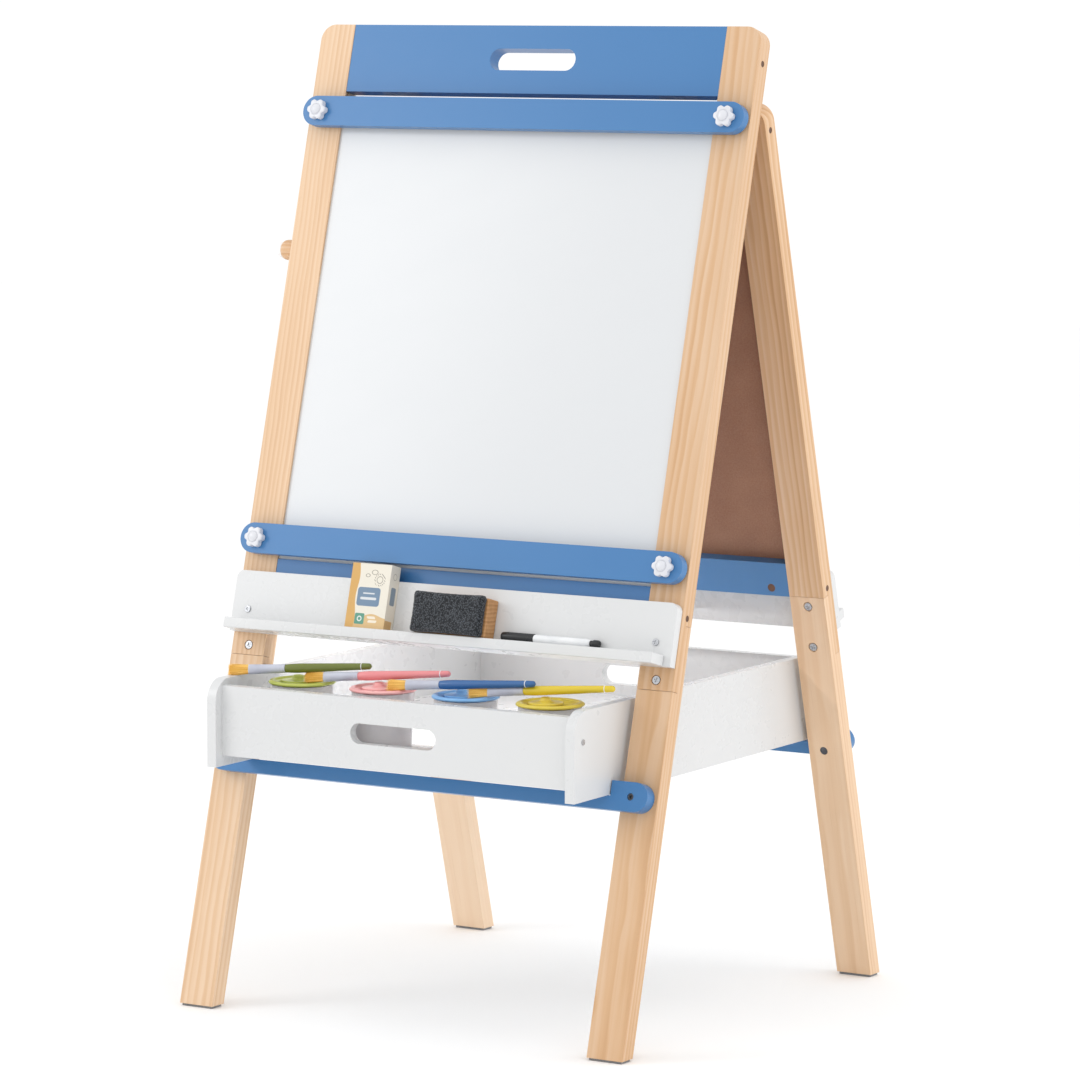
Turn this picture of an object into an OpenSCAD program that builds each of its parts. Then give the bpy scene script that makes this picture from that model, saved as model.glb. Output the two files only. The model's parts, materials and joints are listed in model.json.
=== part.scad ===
// Children's double-sided standing easel with trays, clamp bars and a storage box.
//
// Both frames are drawn flat and then leaned: in a frame's own coordinates x runs
// across it, y is the depth from its outer face and z is the distance up its legs.
// The rear frame is the mirror image of the front one in depth.

/* [Frames] */
// Width over the legs
frame_w = 600; // [520:1:700]
// Width of a leg, seen from the front
leg_w = 46; // [40:1:56]
// Thickness of a leg
leg_t = 23; // [20:1:28]
// Length of a front leg from floor line to top
front_len = 1186; // [1170:1:1240]
// Length of a rear leg from floor line to top
rear_len = 1107; // [1100:1:1140]
// Backward lean of the front frame, degrees
front_lean = 14.35; // [12:0.05:17]
// Forward lean of the rear frame, degrees
rear_lean = 16.35; // [14:0.05:19]
// How much higher the rear frame's fittings sit than the front frame's
rear_raise = 9.5; // [0:0.5:15]
// Radius of the legs' outer top corners
corner_r = 19; // [8:1:22]
// Thickness of the felt pads under the legs
pad_h = 3; // [2:0.5:5]

/* [Half-lap leg joints] */
// Lower end of the lap, up the leg
lap_low = 419; // [400:1:430]
// Upper end of the lap, up the leg
lap_high = 495; // [480:1:500]
// Distance of each lap bolt from the lap's end
lap_bolt_inset = 12; // [9:1:20]

/* [Top panel] */
// Height of the panel between the front legs' tops
panel_h = 82; // [70:1:90]
// Thickness of the panel
panel_t = 20; // [15:1:22]
// Length of the carrying slot
handle_len = 117; // [90:1:140]
// Height of the carrying slot
handle_h = 26; // [22:1:32]

/* [Rails and boards] */
// Lower edge of the bottom rail
rail_low = 494; // [490:1:500]
// Height of the bottom rail
rail_h = 42; // [36:1:46]
// Thickness of the rails
rail_t = 22; // [18:1:22]
// Height of the front top rail
front_top_rail_h = 32; // [28:1:34]
// Height of the rear top rail
rear_top_rail_h = 44; // [38:1:46]
// Thickness of the whiteboard and of the chalkboard
board_t = 4; // [3:0.5:6]
// How far the boards' faces lie behind the legs' faces
board_inset = 3; // [2:0.5:5]
// Depth of the grooves that hold the boards
groove_d = 6; // [4:0.5:8]

/* [Clamp bars and knobs] */
// Height of a clamp bar
clamp_h = 36; // [30:1:40]
// Thickness of a clamp bar
clamp_t = 12; // [9:1:14]
// Gap behind a loosened clamp bar
clamp_gap = 4; // [4:0.5:6]
// Height of the lower clamp bar's middle, up the leg
lower_clamp_s = 557; // [554:1:570]
// Radius over the knob's lobes
knob_r = 12.5; // [11:0.5:15]
// Height of a knob without its dome
knob_h = 8; // [6:0.5:10]
// Number of lobes on a knob
knob_lobes = 6; // [5:1:8]

/* [Trays] */
// Height of a tray's back panel
tray_h = 72.5; // [60:0.5:78]
// Lower edge of a tray, up the leg
tray_low = 445.5; // [440:0.5:450]
// Thickness of a tray's back panel
tray_t = 12; // [9:1:14]
// How far the ledge stands out of the back panel
ledge_d = 28; // [22:1:36]
// Thickness of the ledge
ledge_t = 12.5; // [8:0.5:14]
// How far the ledge's ends are set in
ledge_inset = 10; // [4:1:20]

/* [Box support bars] */
// Height of a support bar
bar_h = 33.5; // [30:0.5:38]
// Thickness of a support bar
bar_t = 17; // [13:1:20]
// Lower edge of a support bar, up the leg
bar_low = 279.5; // [260:0.5:300]
// Height of bar that is left under the box's notch
notch_left = 16.3; // [12:0.1:20]

/* [Storage box] */
// Width over the box's sides
box_w = 494; // [410:1:500]
// Height of the box's sides
box_h = 102; // [80:1:110]
// Thickness of the box's panels
box_t = 12; // [9:1:14]
// How far the box stands out in front of its front support
box_front = 77; // [50:1:90]
// Length of the box behind its front support
box_rear = 530; // [522:1:540]
// How far the front and back panels are set in from the sides' ends
box_inset = 13; // [6:1:20]
// Height of the front and back panels
box_panel_h = 82; // [70:1:88]
// Height of the front and back panels' lower edges above the sides' lower edges
box_panel_low = 12.5; // [8:0.5:16]
// Radius of the sides' top corners
box_corner_r = 26; // [10:1:30]
// Height of the floor's upper face above the sides' lower edges
box_floor_top = 28.4; // [22:0.1:32]

/* [Paper roll rod] */
// Height of the rod, up the front legs
rod_s = 915.5; // [860:0.5:940]
// Radius of the rod
rod_r = 6; // [5:0.5:8]
// How far the rod's grip and cap stand out of the left leg
rod_reach = 39; // [32:1:45]

/* [Hinges] */
// Length of a hinge
hinge_len = 50; // [40:1:64]
// Distance of a hinge's middle from the easel's middle
hinge_x = 190; // [150:1:210]
// Radius of a hinge's knuckles
knuckle_r = 3.2; // [3.2:0.1:3.4]

/* [Drawing kit] */
// Distance between the paint cups
cup_pitch = 112; // [100:1:114]
// Radius of a cup's lid
lid_r = 39.5; // [38:0.5:46]

/* [Hidden] */
$fn = 64;

pine = [0.90, 0.76, 0.58];
blue = [0.38, 0.56, 0.80];
white = [0.94, 0.94, 0.94];
zinc = [0.72, 0.73, 0.75];
brown = [0.42, 0.25, 0.15];
grey = [0.55, 0.55, 0.56];

eps = 1;               // overshoot of a cut past a face
fit = 0.1;             // clearance of a fixed fastener in its hole
gap = 0.3;             // clearance between pieces that move past each other
seam = 0.4;            // open seam between two wooden pieces

half_w = frame_w / 2;
inner_x = half_w - leg_w;
leg_x = half_w - leg_w / 2;
lap_n = leg_t / 2;
lap_rows = [lap_low + lap_bolt_inset, lap_high - lap_bolt_inset];
panel_low = front_len - panel_h;
panel_mid = panel_low + panel_h / 2;
rail_n = (leg_t - rail_t) / 2;
rail_x = inner_x - seam;
rail_bolt_s = rail_low + 10;
board_back = board_inset + board_t;
paper_slot = 8;        // open slot between the top panel and the top rail
front_top_rail_low = panel_low - paper_slot - front_top_rail_h;
rear_top_rail_low = rear_len - 7 - rear_top_rail_h;
rear_top_bolt_s = rear_top_rail_low + rear_top_rail_h / 2;
upper_clamp_s = front_top_rail_low + 12;
clamp_n = -clamp_gap - clamp_t;
clamp_in = clamp_gap - gap;

bolt_r = 3;
head_r = 4.8;
head_h = 2.2;
recess_r = 5.9;        // radius of the recess round a lap bolt's head
cap_r = 3.6;           // radius of the cap over a rail bolt
cap_h = 3;
nut_r = 5;             // radius of the barrel nuts in the rails
nut_x = inner_x - 23.5;
stud_tip = 6;          // how far a clamp stud reaches into its knob
run_fit = 0.06;        // radial clearance of a turning fit

tray_half = half_w - 1;
tray_corner_r = 9;
ledge_half = half_w - ledge_inset;
tray_screw_s = tray_low + 26.5;
ledge_top = tray_low + ledge_t;

bar_half = half_w - 4;
bar_mid = bar_low + bar_h / 2;
bar_bolt_x = 274;
notch_half = box_w / 2 + 1.2;
notch_s = bar_low + notch_left;

hinge_n = leg_t + 3.5;         // pin's distance from the front legs' outer face
hinge_back_n = leg_t - 2.5;    // pin's distance from the rear legs' outer face
hinge_rear_s = rear_len + 3.5;
hinge_z = hinge_rear_s * cos(rear_lean) - hinge_back_n * sin(rear_lean);
hinge_front_s = (hinge_z + hinge_n * sin(front_lean)) / cos(front_lean);
hinge_y = hinge_front_s * sin(front_lean) + hinge_n * cos(front_lean);
spread = hinge_y + hinge_rear_s * sin(rear_lean) + hinge_back_n * cos(rear_lean);
leaf_t = 1.5;
leaf_h = 32;
leaf_n = rail_n + rail_t - leaf_t;
pin_r = 1.5;

front_rest_y = notch_s * sin(front_lean) - bar_t * cos(front_lean);
front_rest_z = notch_s * cos(front_lean) + bar_t * sin(front_lean);
rear_notch_s = notch_s + rear_raise;
rear_rest_y = spread - rear_notch_s * sin(rear_lean) + bar_t * cos(rear_lean);
rear_rest_z = rear_notch_s * cos(rear_lean) + bar_t * sin(rear_lean);
box_tilt = atan((rear_rest_z - front_rest_z) / (rear_rest_y - front_rest_y));
box_side_x = box_w / 2 - box_t;
box_panel_y = -box_front + box_inset;
box_back_y = box_rear - box_inset - box_t;
box_slot_h = 23.6;
box_slot_len = 115;
box_screw_z = 67;

rod_n = leg_t + 13;            // rod's depth behind the front legs' outer face
bracket_t = 12;
bracket_x = inner_x - bracket_t;
grip_r = 12.5;
grip_from = 5;                 // start of the grip, measured from the leg
cap_len = 6;

chalk_size = [54, 20, 76];
chalk_x = -126;
eraser_x = -30;
eraser_len = 96;
eraser_h = 48;
eraser_block_d = 22;
eraser_felt_d = 12;
marker_x = 80;
marker_len = 130;
marker_r = 5.6;
marker_cap_len = 43;
kit_lift = 0.3;                // air under each loose item

cup_y = 3;
cup_h = 66;
cup_r = 36.5;
cup_base_r = 33;
cup_wall = 1.6;
lid_low = box_floor_top + kit_lift + cup_h - 2;
lid_top = lid_low + 5;
stopper_r = 7;
stopper_h = 9.5;
brush_r = 4.5;
ferrule_len = 40;
bristle_len = 26;
brush_tips = [[-250, -30, 107.5], [-158, -8, 103], [-42, -11, 103], [66, -9, 103]];
brush_ends = [[-77, 12, 119.5], [31, 11, 119], [155, -7, 119], [250, 8, 119]];

// The origin lies on the floor in the middle of the whole easel's box.
mid_x = rod_reach / 2;
foot_y = -(spread - pad_h * tan(rear_lean) + front_rest_y - box_front * cos(box_tilt)) / 2;

// ---------------------------------------------------------------- placing

module front_frame() {
    translate([mid_x, foot_y, 0]) rotate([-front_lean, 0, 0]) children();
}

module rear_frame() {
    translate([mid_x, foot_y + spread, 0]) mirror([0, 1, 0]) rotate([-rear_lean, 0, 0]) children();
}

module box_frame() {
    translate([mid_x, foot_y + front_rest_y, front_rest_z + gap])
        rotate([box_tilt, 0, 0]) children();
}

// Draws a right-hand piece, or its mirror image for the left.
module on_side(side) {
    if (side < 0)
        mirror([1, 0, 0]) children();
    else
        children();
}

module both_sides() {
    for (side = [-1, 1])
        on_side(side) children();
}

// Gives a front-view outline its thickness, from depth n0 to depth n1.
module slab(n0, n1) {
    translate([0, n1, 0]) rotate([90, 0, 0]) linear_extrude(n1 - n0) children();
}

// Gives a side-view outline its thickness, from x0 to x1.
module plate(x0, x1) {
    translate([x0, 0, 0]) rotate([90, 0, 90]) linear_extrude(x1 - x0) children();
}

// A cylinder through the depth of a frame.
module peg(x, s, n0, n1, r) {
    translate([x, n0, s]) rotate([-90, 0, 0]) cylinder(h = n1 - n0, r = r);
}

// A cylinder across the width of a frame.
module cross_peg(x0, x1, n, s, r) {
    translate([x0, n, s]) rotate([0, 90, 0]) cylinder(h = x1 - x0, r = r);
}

// ---------------------------------------------------------------- outlines

// A bar with full-round ends.
module stadium(length, height) {
    square([length - height, height], center = true);
    for (end = [-1, 1])
        translate([end * (length - height) / 2, 0]) circle(r = height / 2);
}

// A rectangle from (x0, y0) whose two upper corners are round.
module round_top(x0, y0, width, height, r) {
    translate([x0, y0]) square([width, height - r]);
    translate([x0 + r, y0]) square([width - 2 * r, height]);
    for (x = [x0 + r, x0 + width - r])
        translate([x, y0 + height - r]) circle(r = r);
}

// A leg's front view, with its outer top corner round.
module leg_outline(low, top) {
    translate([inner_x, low]) square([leg_w - corner_r, top - low]);
    translate([inner_x, low]) square([leg_w, top - low - corner_r]);
    translate([half_w - corner_r, top - corner_r]) circle(r = corner_r);
}

// ---------------------------------------------------------------- fasteners

// A screw head whose face looks along -y, with its cross recess.
module cross_head(x, s, n, r, h) {
    difference() {
        peg(x, s, n, n + h, r);
        for (turn = [0, 90])
            translate([x, n, s]) rotate([0, turn + 20, 0])
                cube([r * 1.1, h, r * 0.26], center = true);
    }
}

module lap_bolts(shift) {
    both_sides()
        for (s = lap_rows) {
            cross_head(leg_x, s + shift, gap, head_r, head_h);
            peg(leg_x, s + shift, gap + head_h, leg_t - gap - head_h, bolt_r);
            translate([0, leg_t, 0]) mirror([0, 1, 0])
                cross_head(leg_x, s + shift, gap, head_r, head_h);
        }
}

module lap_bolt_holes(shift) {
    for (s = lap_rows) {
        peg(leg_x, s + shift, -eps, leg_t + eps, bolt_r + fit);
        peg(leg_x, s + shift, -eps, gap + head_h, recess_r);
        peg(leg_x, s + shift, leg_t - gap - head_h, leg_t + eps, recess_r);
    }
}

// Bolts through the legs into barrel nuts, at the given heights and nut faces.
module rail_bolts(rows) {
    both_sides()
        for (row = rows) {
            cross_peg(half_w - cap_h, half_w - gap, leg_t / 2, row[0], cap_r);
            cross_peg(nut_x - nut_r, half_w - cap_h, leg_t / 2, row[0], bolt_r);
            peg(nut_x, row[0], row[1] - gap - 14, row[1] - gap, nut_r);
        }
}

module rail_bolt_holes(s, nut_face) {
    cross_peg(nut_x - nut_r - 2, inner_x + eps, leg_t / 2, s, bolt_r + fit);
    peg(nut_x, s, nut_face - 15, nut_face + eps, nut_r + fit);
}

module tray_screws(shift) {
    both_sides() {
        cross_head(leg_x, tray_screw_s + shift, -tray_t - 1.6, 4, 1.6);
        peg(leg_x, tray_screw_s + shift, -tray_t, 9, 2);
    }
}

module bar_bolts(shift) {
    both_sides() {
        difference() {
            peg(bar_bolt_x, bar_mid + shift, -bar_t + 1.5, -bar_t + 5, 4);
            translate([0, -bar_t + 1, 0])
                translate([bar_bolt_x, 0, bar_mid + shift]) rotate([-90, 0, 0])
                    cylinder(h = 3, r = 2.2, $fn = 6);
        }
        peg(bar_bolt_x, bar_mid + shift, -bar_t + 5, leg_t - gap, bolt_r);
        peg(bar_bolt_x, bar_mid + shift, leg_t - 3, leg_t - gap, 5);
    }
}

// ---------------------------------------------------------------- legs and feet

module upper_leg(top, shift, board_low, board_high, bolt_rows) {
    color(pine) difference() {
        slab(0, leg_t) leg_outline(lap_low + shift + seam, top);
        translate([inner_x - eps, lap_n, lap_low + shift - eps])
            cube([leg_w + 2 * eps, leg_t, lap_high - lap_low + seam + eps]);
        translate([inner_x - eps, board_inset - fit, board_low])
            cube([groove_d + eps, board_t + 2 * fit, board_high - board_low]);
        lap_bolt_holes(shift);
        peg(leg_x, tray_screw_s + shift, -eps, 9.5, 2 + fit);
        for (s = bolt_rows) {
            cross_peg(inner_x - eps, half_w + eps, leg_t / 2, s, bolt_r + fit);
            cross_peg(half_w - cap_h - fit, half_w + eps, leg_t / 2, s, cap_r + fit);
        }
        children();
    }
}

module front_upper_leg() {
    upper_leg(front_len, 0, rail_low, panel_low, [rail_bolt_s, panel_mid])
        for (s = [upper_clamp_s, lower_clamp_s]) {
            peg(leg_x, s, -eps, leg_t + eps, bolt_r + fit);
            peg(leg_x, s, leg_t - 3.5, leg_t + eps, 7 + fit);
        }
}

module rear_upper_leg() {
    upper_leg(rear_len, rear_raise, rail_low + rear_raise, rear_top_rail_low + groove_d + 1,
              [rail_bolt_s + rear_raise, rear_top_bolt_s]);
}

module lower_leg(shift, lean) {
    color(pine) difference() {
        slab(0, leg_t) translate([inner_x, 0]) square([leg_w, lap_high + shift]);
        translate([inner_x - eps, -eps, lap_low + shift])
            cube([leg_w + 2 * eps, lap_n + eps, lap_high - lap_low + eps]);
        rotate([lean, 0, 0]) translate([0, -leg_t, -2 * leg_t])
            cube([frame_w, 3 * leg_t, 2 * leg_t + pad_h]);
        lap_bolt_holes(shift);
        peg(bar_bolt_x, bar_mid + shift, -eps, leg_t + eps, bolt_r + fit);
        peg(bar_bolt_x, bar_mid + shift, leg_t - 3 - fit, leg_t + eps, 5 + fit);
    }
}

// Felt pads that lie flat on the floor under the sloping legs.
module feet(lean) {
    inset = 2;
    color(grey) both_sides()
        rotate([lean, 0, 0])
            translate([inner_x + inset, pad_h * tan(lean) + inset, 0])
                cube([leg_w - 2 * inset, leg_t / cos(lean) - 2 * inset, pad_h]);
}

// ---------------------------------------------------------------- panel, rails and boards

module top_panel() {
    color(blue) front_frame() difference() {
        slab(rail_n, rail_n + panel_t) difference() {
            translate([-rail_x, panel_low]) square([2 * rail_x, panel_h]);
            translate([0, panel_mid]) stadium(handle_len, handle_h);
        }
        both_sides() rail_bolt_holes(panel_mid, rail_n + panel_t);
    }
}

// The pocket that a hinge leaf is let into, for a pin at pin_s.
module leaf_pocket(pin_s) {
    translate([hinge_x - hinge_len / 2 - fit, leaf_n, pin_s - knuckle_r - leaf_h - fit])
        cube([hinge_len + 2 * fit, leaf_t + eps, leaf_h + eps]);
}

// A rail with the board's groove in its upper edge, or in its lower one.
module rail(low, height, groove_up) {
    difference() {
        translate([-rail_x, rail_n, low]) cube([2 * rail_x, rail_t, height]);
        translate([-half_w, board_inset - fit, groove_up ? low + height - groove_d : low - eps])
            cube([frame_w, board_t + 2 * fit, groove_d + eps]);
        both_sides() children();
    }
}

module front_top_rail() {
    color(blue) front_frame()
        rail(front_top_rail_low, front_top_rail_h, false) leaf_pocket(hinge_front_s);
}

module front_bottom_rail() {
    color(blue) front_frame()
        rail(rail_low, rail_h, true) rail_bolt_holes(rail_bolt_s, rail_n + rail_t);
}

module rear_top_rail() {
    color(blue) rear_frame()
        rail(rear_top_rail_low, rear_top_rail_h, false) {
            rail_bolt_holes(rear_top_bolt_s, rail_n + rail_t);
            leaf_pocket(hinge_rear_s);
        }
}

module rear_bottom_rail() {
    color(blue) rear_frame()
        rail(rail_low + rear_raise, rail_h, true)
            rail_bolt_holes(rail_bolt_s + rear_raise, rail_n + rail_t);
}

// A board held in the grooves of the legs and rails.
module board(low, high) {
    edge = groove_d - 1;
    translate([-inner_x - edge, board_inset, low - edge])
        cube([2 * (inner_x + edge), board_t, high - low + 2 * edge]);
}

module whiteboard() {
    color(white) front_frame() board(rail_low + rail_h, front_top_rail_low);
}

module chalkboard() {
    color([0.16, 0.20, 0.18]) rear_frame()
        board(rail_low + rail_h + rear_raise, rear_top_rail_low);
}

// ---------------------------------------------------------------- trays and box bars

module tray_back(shift) {
    color(white) difference() {
        slab(-tray_t, 0)
            round_top(-tray_half, tray_low + shift, 2 * tray_half, tray_h, tray_corner_r);
        both_sides() peg(leg_x, tray_screw_s + shift, -tray_t - eps, eps, 2 + fit);
    }
}

module tray_ledge(shift) {
    color(white)
        translate([-ledge_half, -tray_t - ledge_d, tray_low + shift])
            cube([2 * ledge_half, ledge_d, ledge_t]);
}

module box_bar(shift) {
    color(blue) difference() {
        slab(-bar_t, 0) difference() {
            translate([0, bar_mid + shift]) stadium(2 * bar_half, bar_h);
            translate([-notch_half, notch_s + shift]) square([2 * notch_half, bar_h]);
        }
        both_sides() {
            peg(bar_bolt_x, bar_mid + shift, -bar_t - eps, eps, bolt_r + fit);
            peg(bar_bolt_x, bar_mid + shift, -bar_t - eps, -bar_t + 5, 4 + fit);
        }
    }
}

// ---------------------------------------------------------------- clamp bars and knobs

module clamp_studs() {
    color(zinc) front_frame() both_sides()
        for (s = [upper_clamp_s, lower_clamp_s]) {
            peg(leg_x, s, clamp_n - stud_tip, leg_t - 1, bolt_r);
            peg(leg_x, s, leg_t - 3.5 + fit, leg_t - gap, 7);
        }
}

module clamp_bar(s) {
    color(blue) front_frame() difference() {
        slab(clamp_n, -clamp_gap) translate([0, s]) stadium(frame_w, clamp_h);
        both_sides() peg(leg_x, s, clamp_n - eps, 0, bolt_r + 0.4);
    }
}

// A lobed knob with a domed middle and a blind bore for its stud.
module knob(side, s) {
    lobe_r = knob_r * 0.28;
    core_r = knob_r * 0.84;
    dome_r = knob_r * 0.95;
    bore = stud_tip + clamp_gap;
    color(white) front_frame() on_side(side)
        translate([leg_x, clamp_n - gap, s]) rotate([90, 0, 0]) difference() {
            union() {
                cylinder(h = knob_h, r = core_r);
                for (i = [0 : knob_lobes - 1])
                    rotate([0, 0, i * 360 / knob_lobes])
                        translate([knob_r - lobe_r, 0, 0]) cylinder(h = knob_h, r = lobe_r);
                intersection() {
                    translate([0, 0, knob_h + 3 - dome_r]) sphere(r = dome_r);
                    translate([0, 0, knob_h - eps]) cylinder(h = knob_h, r = core_r);
                }
            }
            translate([0, 0, -eps]) cylinder(h = bore + eps - gap, r = bolt_r + run_fit);
        }
}

// ---------------------------------------------------------------- paper roll rod

module roll_brackets() {
    depth = rod_n - board_back;
    tab_r = 12;
    color(pine) front_frame() both_sides() difference() {
        union() {
            translate([bracket_x, board_back + 2, rod_s - tab_r])
                cube([bracket_t, depth - 2, 2 * tab_r]);
            cross_peg(bracket_x, bracket_x + bracket_t, rod_n, rod_s, tab_r);
        }
        cross_peg(bracket_x - eps, bracket_x + bracket_t + eps, rod_n, rod_s, rod_r + run_fit);
    }
}

module roll_rod() {
    color(pine) front_frame()
        cross_peg(-half_w - grip_from, inner_x + 4, rod_n, rod_s, rod_r);
}

module roll_rod_grip() {
    color(pine) front_frame()
        cross_peg(-half_w - rod_reach + cap_len, -half_w - grip_from, rod_n, rod_s, grip_r);
}

module roll_rod_cap() {
    color(white) front_frame()
        cross_peg(-half_w - rod_reach, -half_w - rod_reach + cap_len, rod_n, rod_s, grip_r * 0.75);
}

// ---------------------------------------------------------------- hinges

// Heights of a leaf's screws below the pin, and their places along the leaf.
leaf_screws = [for (u = [-1, 1], v = [12, 28]) [hinge_x + u * hinge_len * 0.28, v]];

// A hinge leaf on face_n, with its knuckles on the pin at (pin_n, pin_s).
module leaf(face_n, pin_n, pin_s, knuckles) {
    third = hinge_len / 3;
    left = hinge_x - hinge_len / 2;
    color(zinc) both_sides() difference() {
        union() {
            translate([left, face_n, pin_s - knuckle_r - leaf_h])
                cube([hinge_len, leaf_t, leaf_h - 1]);
            for (i = knuckles) {
                x0 = left + i * third + gap / 2;
                x1 = left + (i + 1) * third - gap / 2;
                cross_peg(x0, x1, pin_n, pin_s, knuckle_r);
                translate([x0, face_n, pin_s - knuckle_r - 2])
                    cube([x1 - x0, leaf_t, knuckle_r + 2]);
                translate([x0, min(face_n, pin_n), pin_s - knuckle_r])
                    cube([x1 - x0, abs(pin_n - face_n), leaf_t]);
            }
        }
        cross_peg(left - eps, left + hinge_len + eps, pin_n, pin_s, pin_r + 0.05);
        for (p = leaf_screws)
            peg(p[0], pin_s - p[1], face_n - eps, face_n + leaf_t + eps, 2 + fit);
    }
}

module front_hinge_leaves() {
    front_frame() leaf(leaf_n, hinge_n, hinge_front_s, [0, 2]);
}

module rear_hinge_leaves() {
    rear_frame() leaf(leaf_n, hinge_back_n, hinge_rear_s, [1]);
}

module hinge_pins() {
    color(zinc) front_frame() both_sides()
        cross_peg(hinge_x - hinge_len / 2, hinge_x + hinge_len / 2, hinge_n, hinge_front_s, pin_r);
}

module hinge_screws(pin_s) {
    color(zinc) both_sides()
        for (p = leaf_screws)
            peg(p[0], pin_s - p[1], leaf_n, leaf_n + leaf_t + 0.4, 2);
}

// ---------------------------------------------------------------- storage box

module box_side(side) {
    length = box_front + box_rear;
    color(white) box_frame() on_side(side) difference() {
        plate(box_side_x, box_side_x + box_t)
            round_top(-box_front, 0, length, box_h, box_corner_r);
        for (y = [box_panel_y, box_back_y])
            cross_peg(box_side_x - eps, box_side_x + box_t + eps, y + box_t / 2, box_screw_z, 2 + fit);
    }
}

// The front or back panel of the box, with its hand slot.
module box_panel(y) {
    color(white) box_frame() difference() {
        slab(y, y + box_t) difference() {
            translate([-box_side_x, box_panel_low]) square([2 * box_side_x, box_panel_h]);
            translate([0, box_panel_low + box_panel_h / 2]) stadium(box_slot_len, box_slot_h);
        }
        both_sides()
            cross_peg(box_side_x - 16, box_side_x + eps, y + box_t / 2, box_screw_z, 2 + fit);
    }
}

module box_floor() {
    thick = 6;
    y0 = box_panel_y + box_t;
    color(white) box_frame()
        translate([-box_side_x, y0, box_floor_top - thick])
            cube([2 * box_side_x, box_back_y - y0, thick]);
}

module box_screws() {
    color(zinc) box_frame() both_sides()
        for (y = [box_panel_y, box_back_y]) {
            cross_peg(box_side_x - 15, box_side_x + box_t, y + box_t / 2, box_screw_z, 2);
            cross_peg(box_side_x + box_t, box_side_x + box_t + 0.8, y + box_t / 2, box_screw_z, 3.4);
        }
}

// ---------------------------------------------------------------- drawing kit

module chalk_carton() {
    color([0.90, 0.85, 0.72]) front_frame()
        translate([chalk_x, -tray_t - gap - chalk_size[1], ledge_top + kit_lift]) cube(chalk_size);
}

module eraser_block() {
    color(pine) front_frame()
        translate([eraser_x, -tray_t - gap - eraser_block_d, ledge_top + kit_lift])
            cube([eraser_len, eraser_block_d, eraser_h - 2]);
}

module eraser_felt() {
    color([0.22, 0.23, 0.24]) front_frame()
        translate([eraser_x, -tray_t - gap - eraser_block_d - eraser_felt_d, ledge_top + kit_lift])
            cube([eraser_len - 1, eraser_felt_d, eraser_h]);
}

module marker() {
    n = -tray_t - gap - marker_r;
    s = ledge_top + kit_lift + marker_r;
    tail = 14;
    color(white) front_frame() {
        cross_peg(marker_x, marker_x + marker_cap_len, n, s, marker_r);
        cross_peg(marker_x + marker_cap_len, marker_x + marker_len - tail, n, s, marker_r - 0.6);
        cross_peg(marker_x + marker_len - tail, marker_x + marker_len, n, s, marker_r - 1.4);
    }
}

// The middles of the four cups, across the box.
cup_xs = [for (i = [-1.5 : 1 : 1.5]) i * cup_pitch];

module paint_cups() {
    color([0.88, 0.90, 0.90]) box_frame()
        for (x = cup_xs)
            translate([x, cup_y, box_floor_top + kit_lift]) rotate_extrude()
                difference() {
                    polygon([[0, 0], [cup_base_r, 0], [cup_r, cup_h], [0, cup_h]]);
                    polygon([[-eps, 2], [cup_base_r - cup_wall, 2], [cup_r - cup_wall, cup_h + eps],
                             [-eps, cup_h + eps]]);
                }
}

module cup_lids() {
    color([0.90, 0.45, 0.45]) box_frame()
        for (x = cup_xs) {
            translate([x, cup_y, 0]) rotate_extrude()
                difference() {
                    polygon([[0, lid_low + 1], [lid_r, lid_low], [lid_r, lid_top - 2],
                             [lid_r - 2, lid_top], [lid_r - 6, lid_top], [lid_r - 8, lid_top - 2],
                             [0, lid_top - 2]]);
                    polygon([[cup_r - cup_wall - 0.5, lid_low - eps], [cup_r + 0.5, lid_low - eps],
                             [cup_r + 0.5, lid_low + 2.3], [cup_r - cup_wall - 0.5, lid_low + 2.3]]);
                }
            translate([x - 7, cup_y, lid_top - 3]) cylinder(h = stopper_h + 1, r = stopper_r);
        }
}

// A brush from its bristle tip to its handle's end.
module brush(tip, end) {
    d = end - tip;
    length = norm(d);
    handle = length - ferrule_len - bristle_len;
    translate(tip) rotate([0, acos(d[2] / length), atan2(d[1], d[0])]) {
        cylinder(h = bristle_len, r = brush_r + 0.5);
        translate([0, 0, bristle_len]) cylinder(h = ferrule_len, r = brush_r);
        translate([0, 0, bristle_len + ferrule_len]) cylinder(h = handle, r = brush_r - 0.8);
    }
}

module paint_brushes() {
    color([0.85, 0.70, 0.25]) box_frame()
        for (i = [0 : len(brush_tips) - 1])
            brush(brush_tips[i], brush_ends[i]);
}

// ---------------------------------------------------------------- nodes

front_frame() on_side(-1) front_upper_leg();  // front_upper_leg_left
front_frame() front_upper_leg();  // front_upper_leg_right
front_frame() on_side(-1) lower_leg(0, front_lean);  // front_lower_leg_left
front_frame() lower_leg(0, front_lean);  // front_lower_leg_right
top_panel();
front_top_rail();
whiteboard();
front_bottom_rail();
front_frame() tray_back(0);  // front_tray_back
front_frame() tray_ledge(0);  // front_tray_ledge
front_frame() box_bar(0);  // front_box_bar
front_frame() feet(front_lean);  // front_feet
color(zinc) front_frame() lap_bolts(0);  // front_lap_bolts
color(brown) front_frame()  // front_rail_bolts
        rail_bolts([[rail_bolt_s, rail_n + rail_t], [panel_mid, rail_n + panel_t]]);
color(zinc) front_frame() tray_screws(0);  // front_tray_screws
color(grey) front_frame() bar_bolts(0);  // front_bar_bolts
clamp_studs();
roll_brackets();
front_hinge_leaves();
front_frame() hinge_screws(hinge_front_s);  // front_hinge_screws
hinge_pins();
roll_rod();
roll_rod_grip();
roll_rod_cap();
rear_frame() on_side(-1) rear_upper_leg();  // rear_upper_leg_left
rear_frame() rear_upper_leg();  // rear_upper_leg_right
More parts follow.
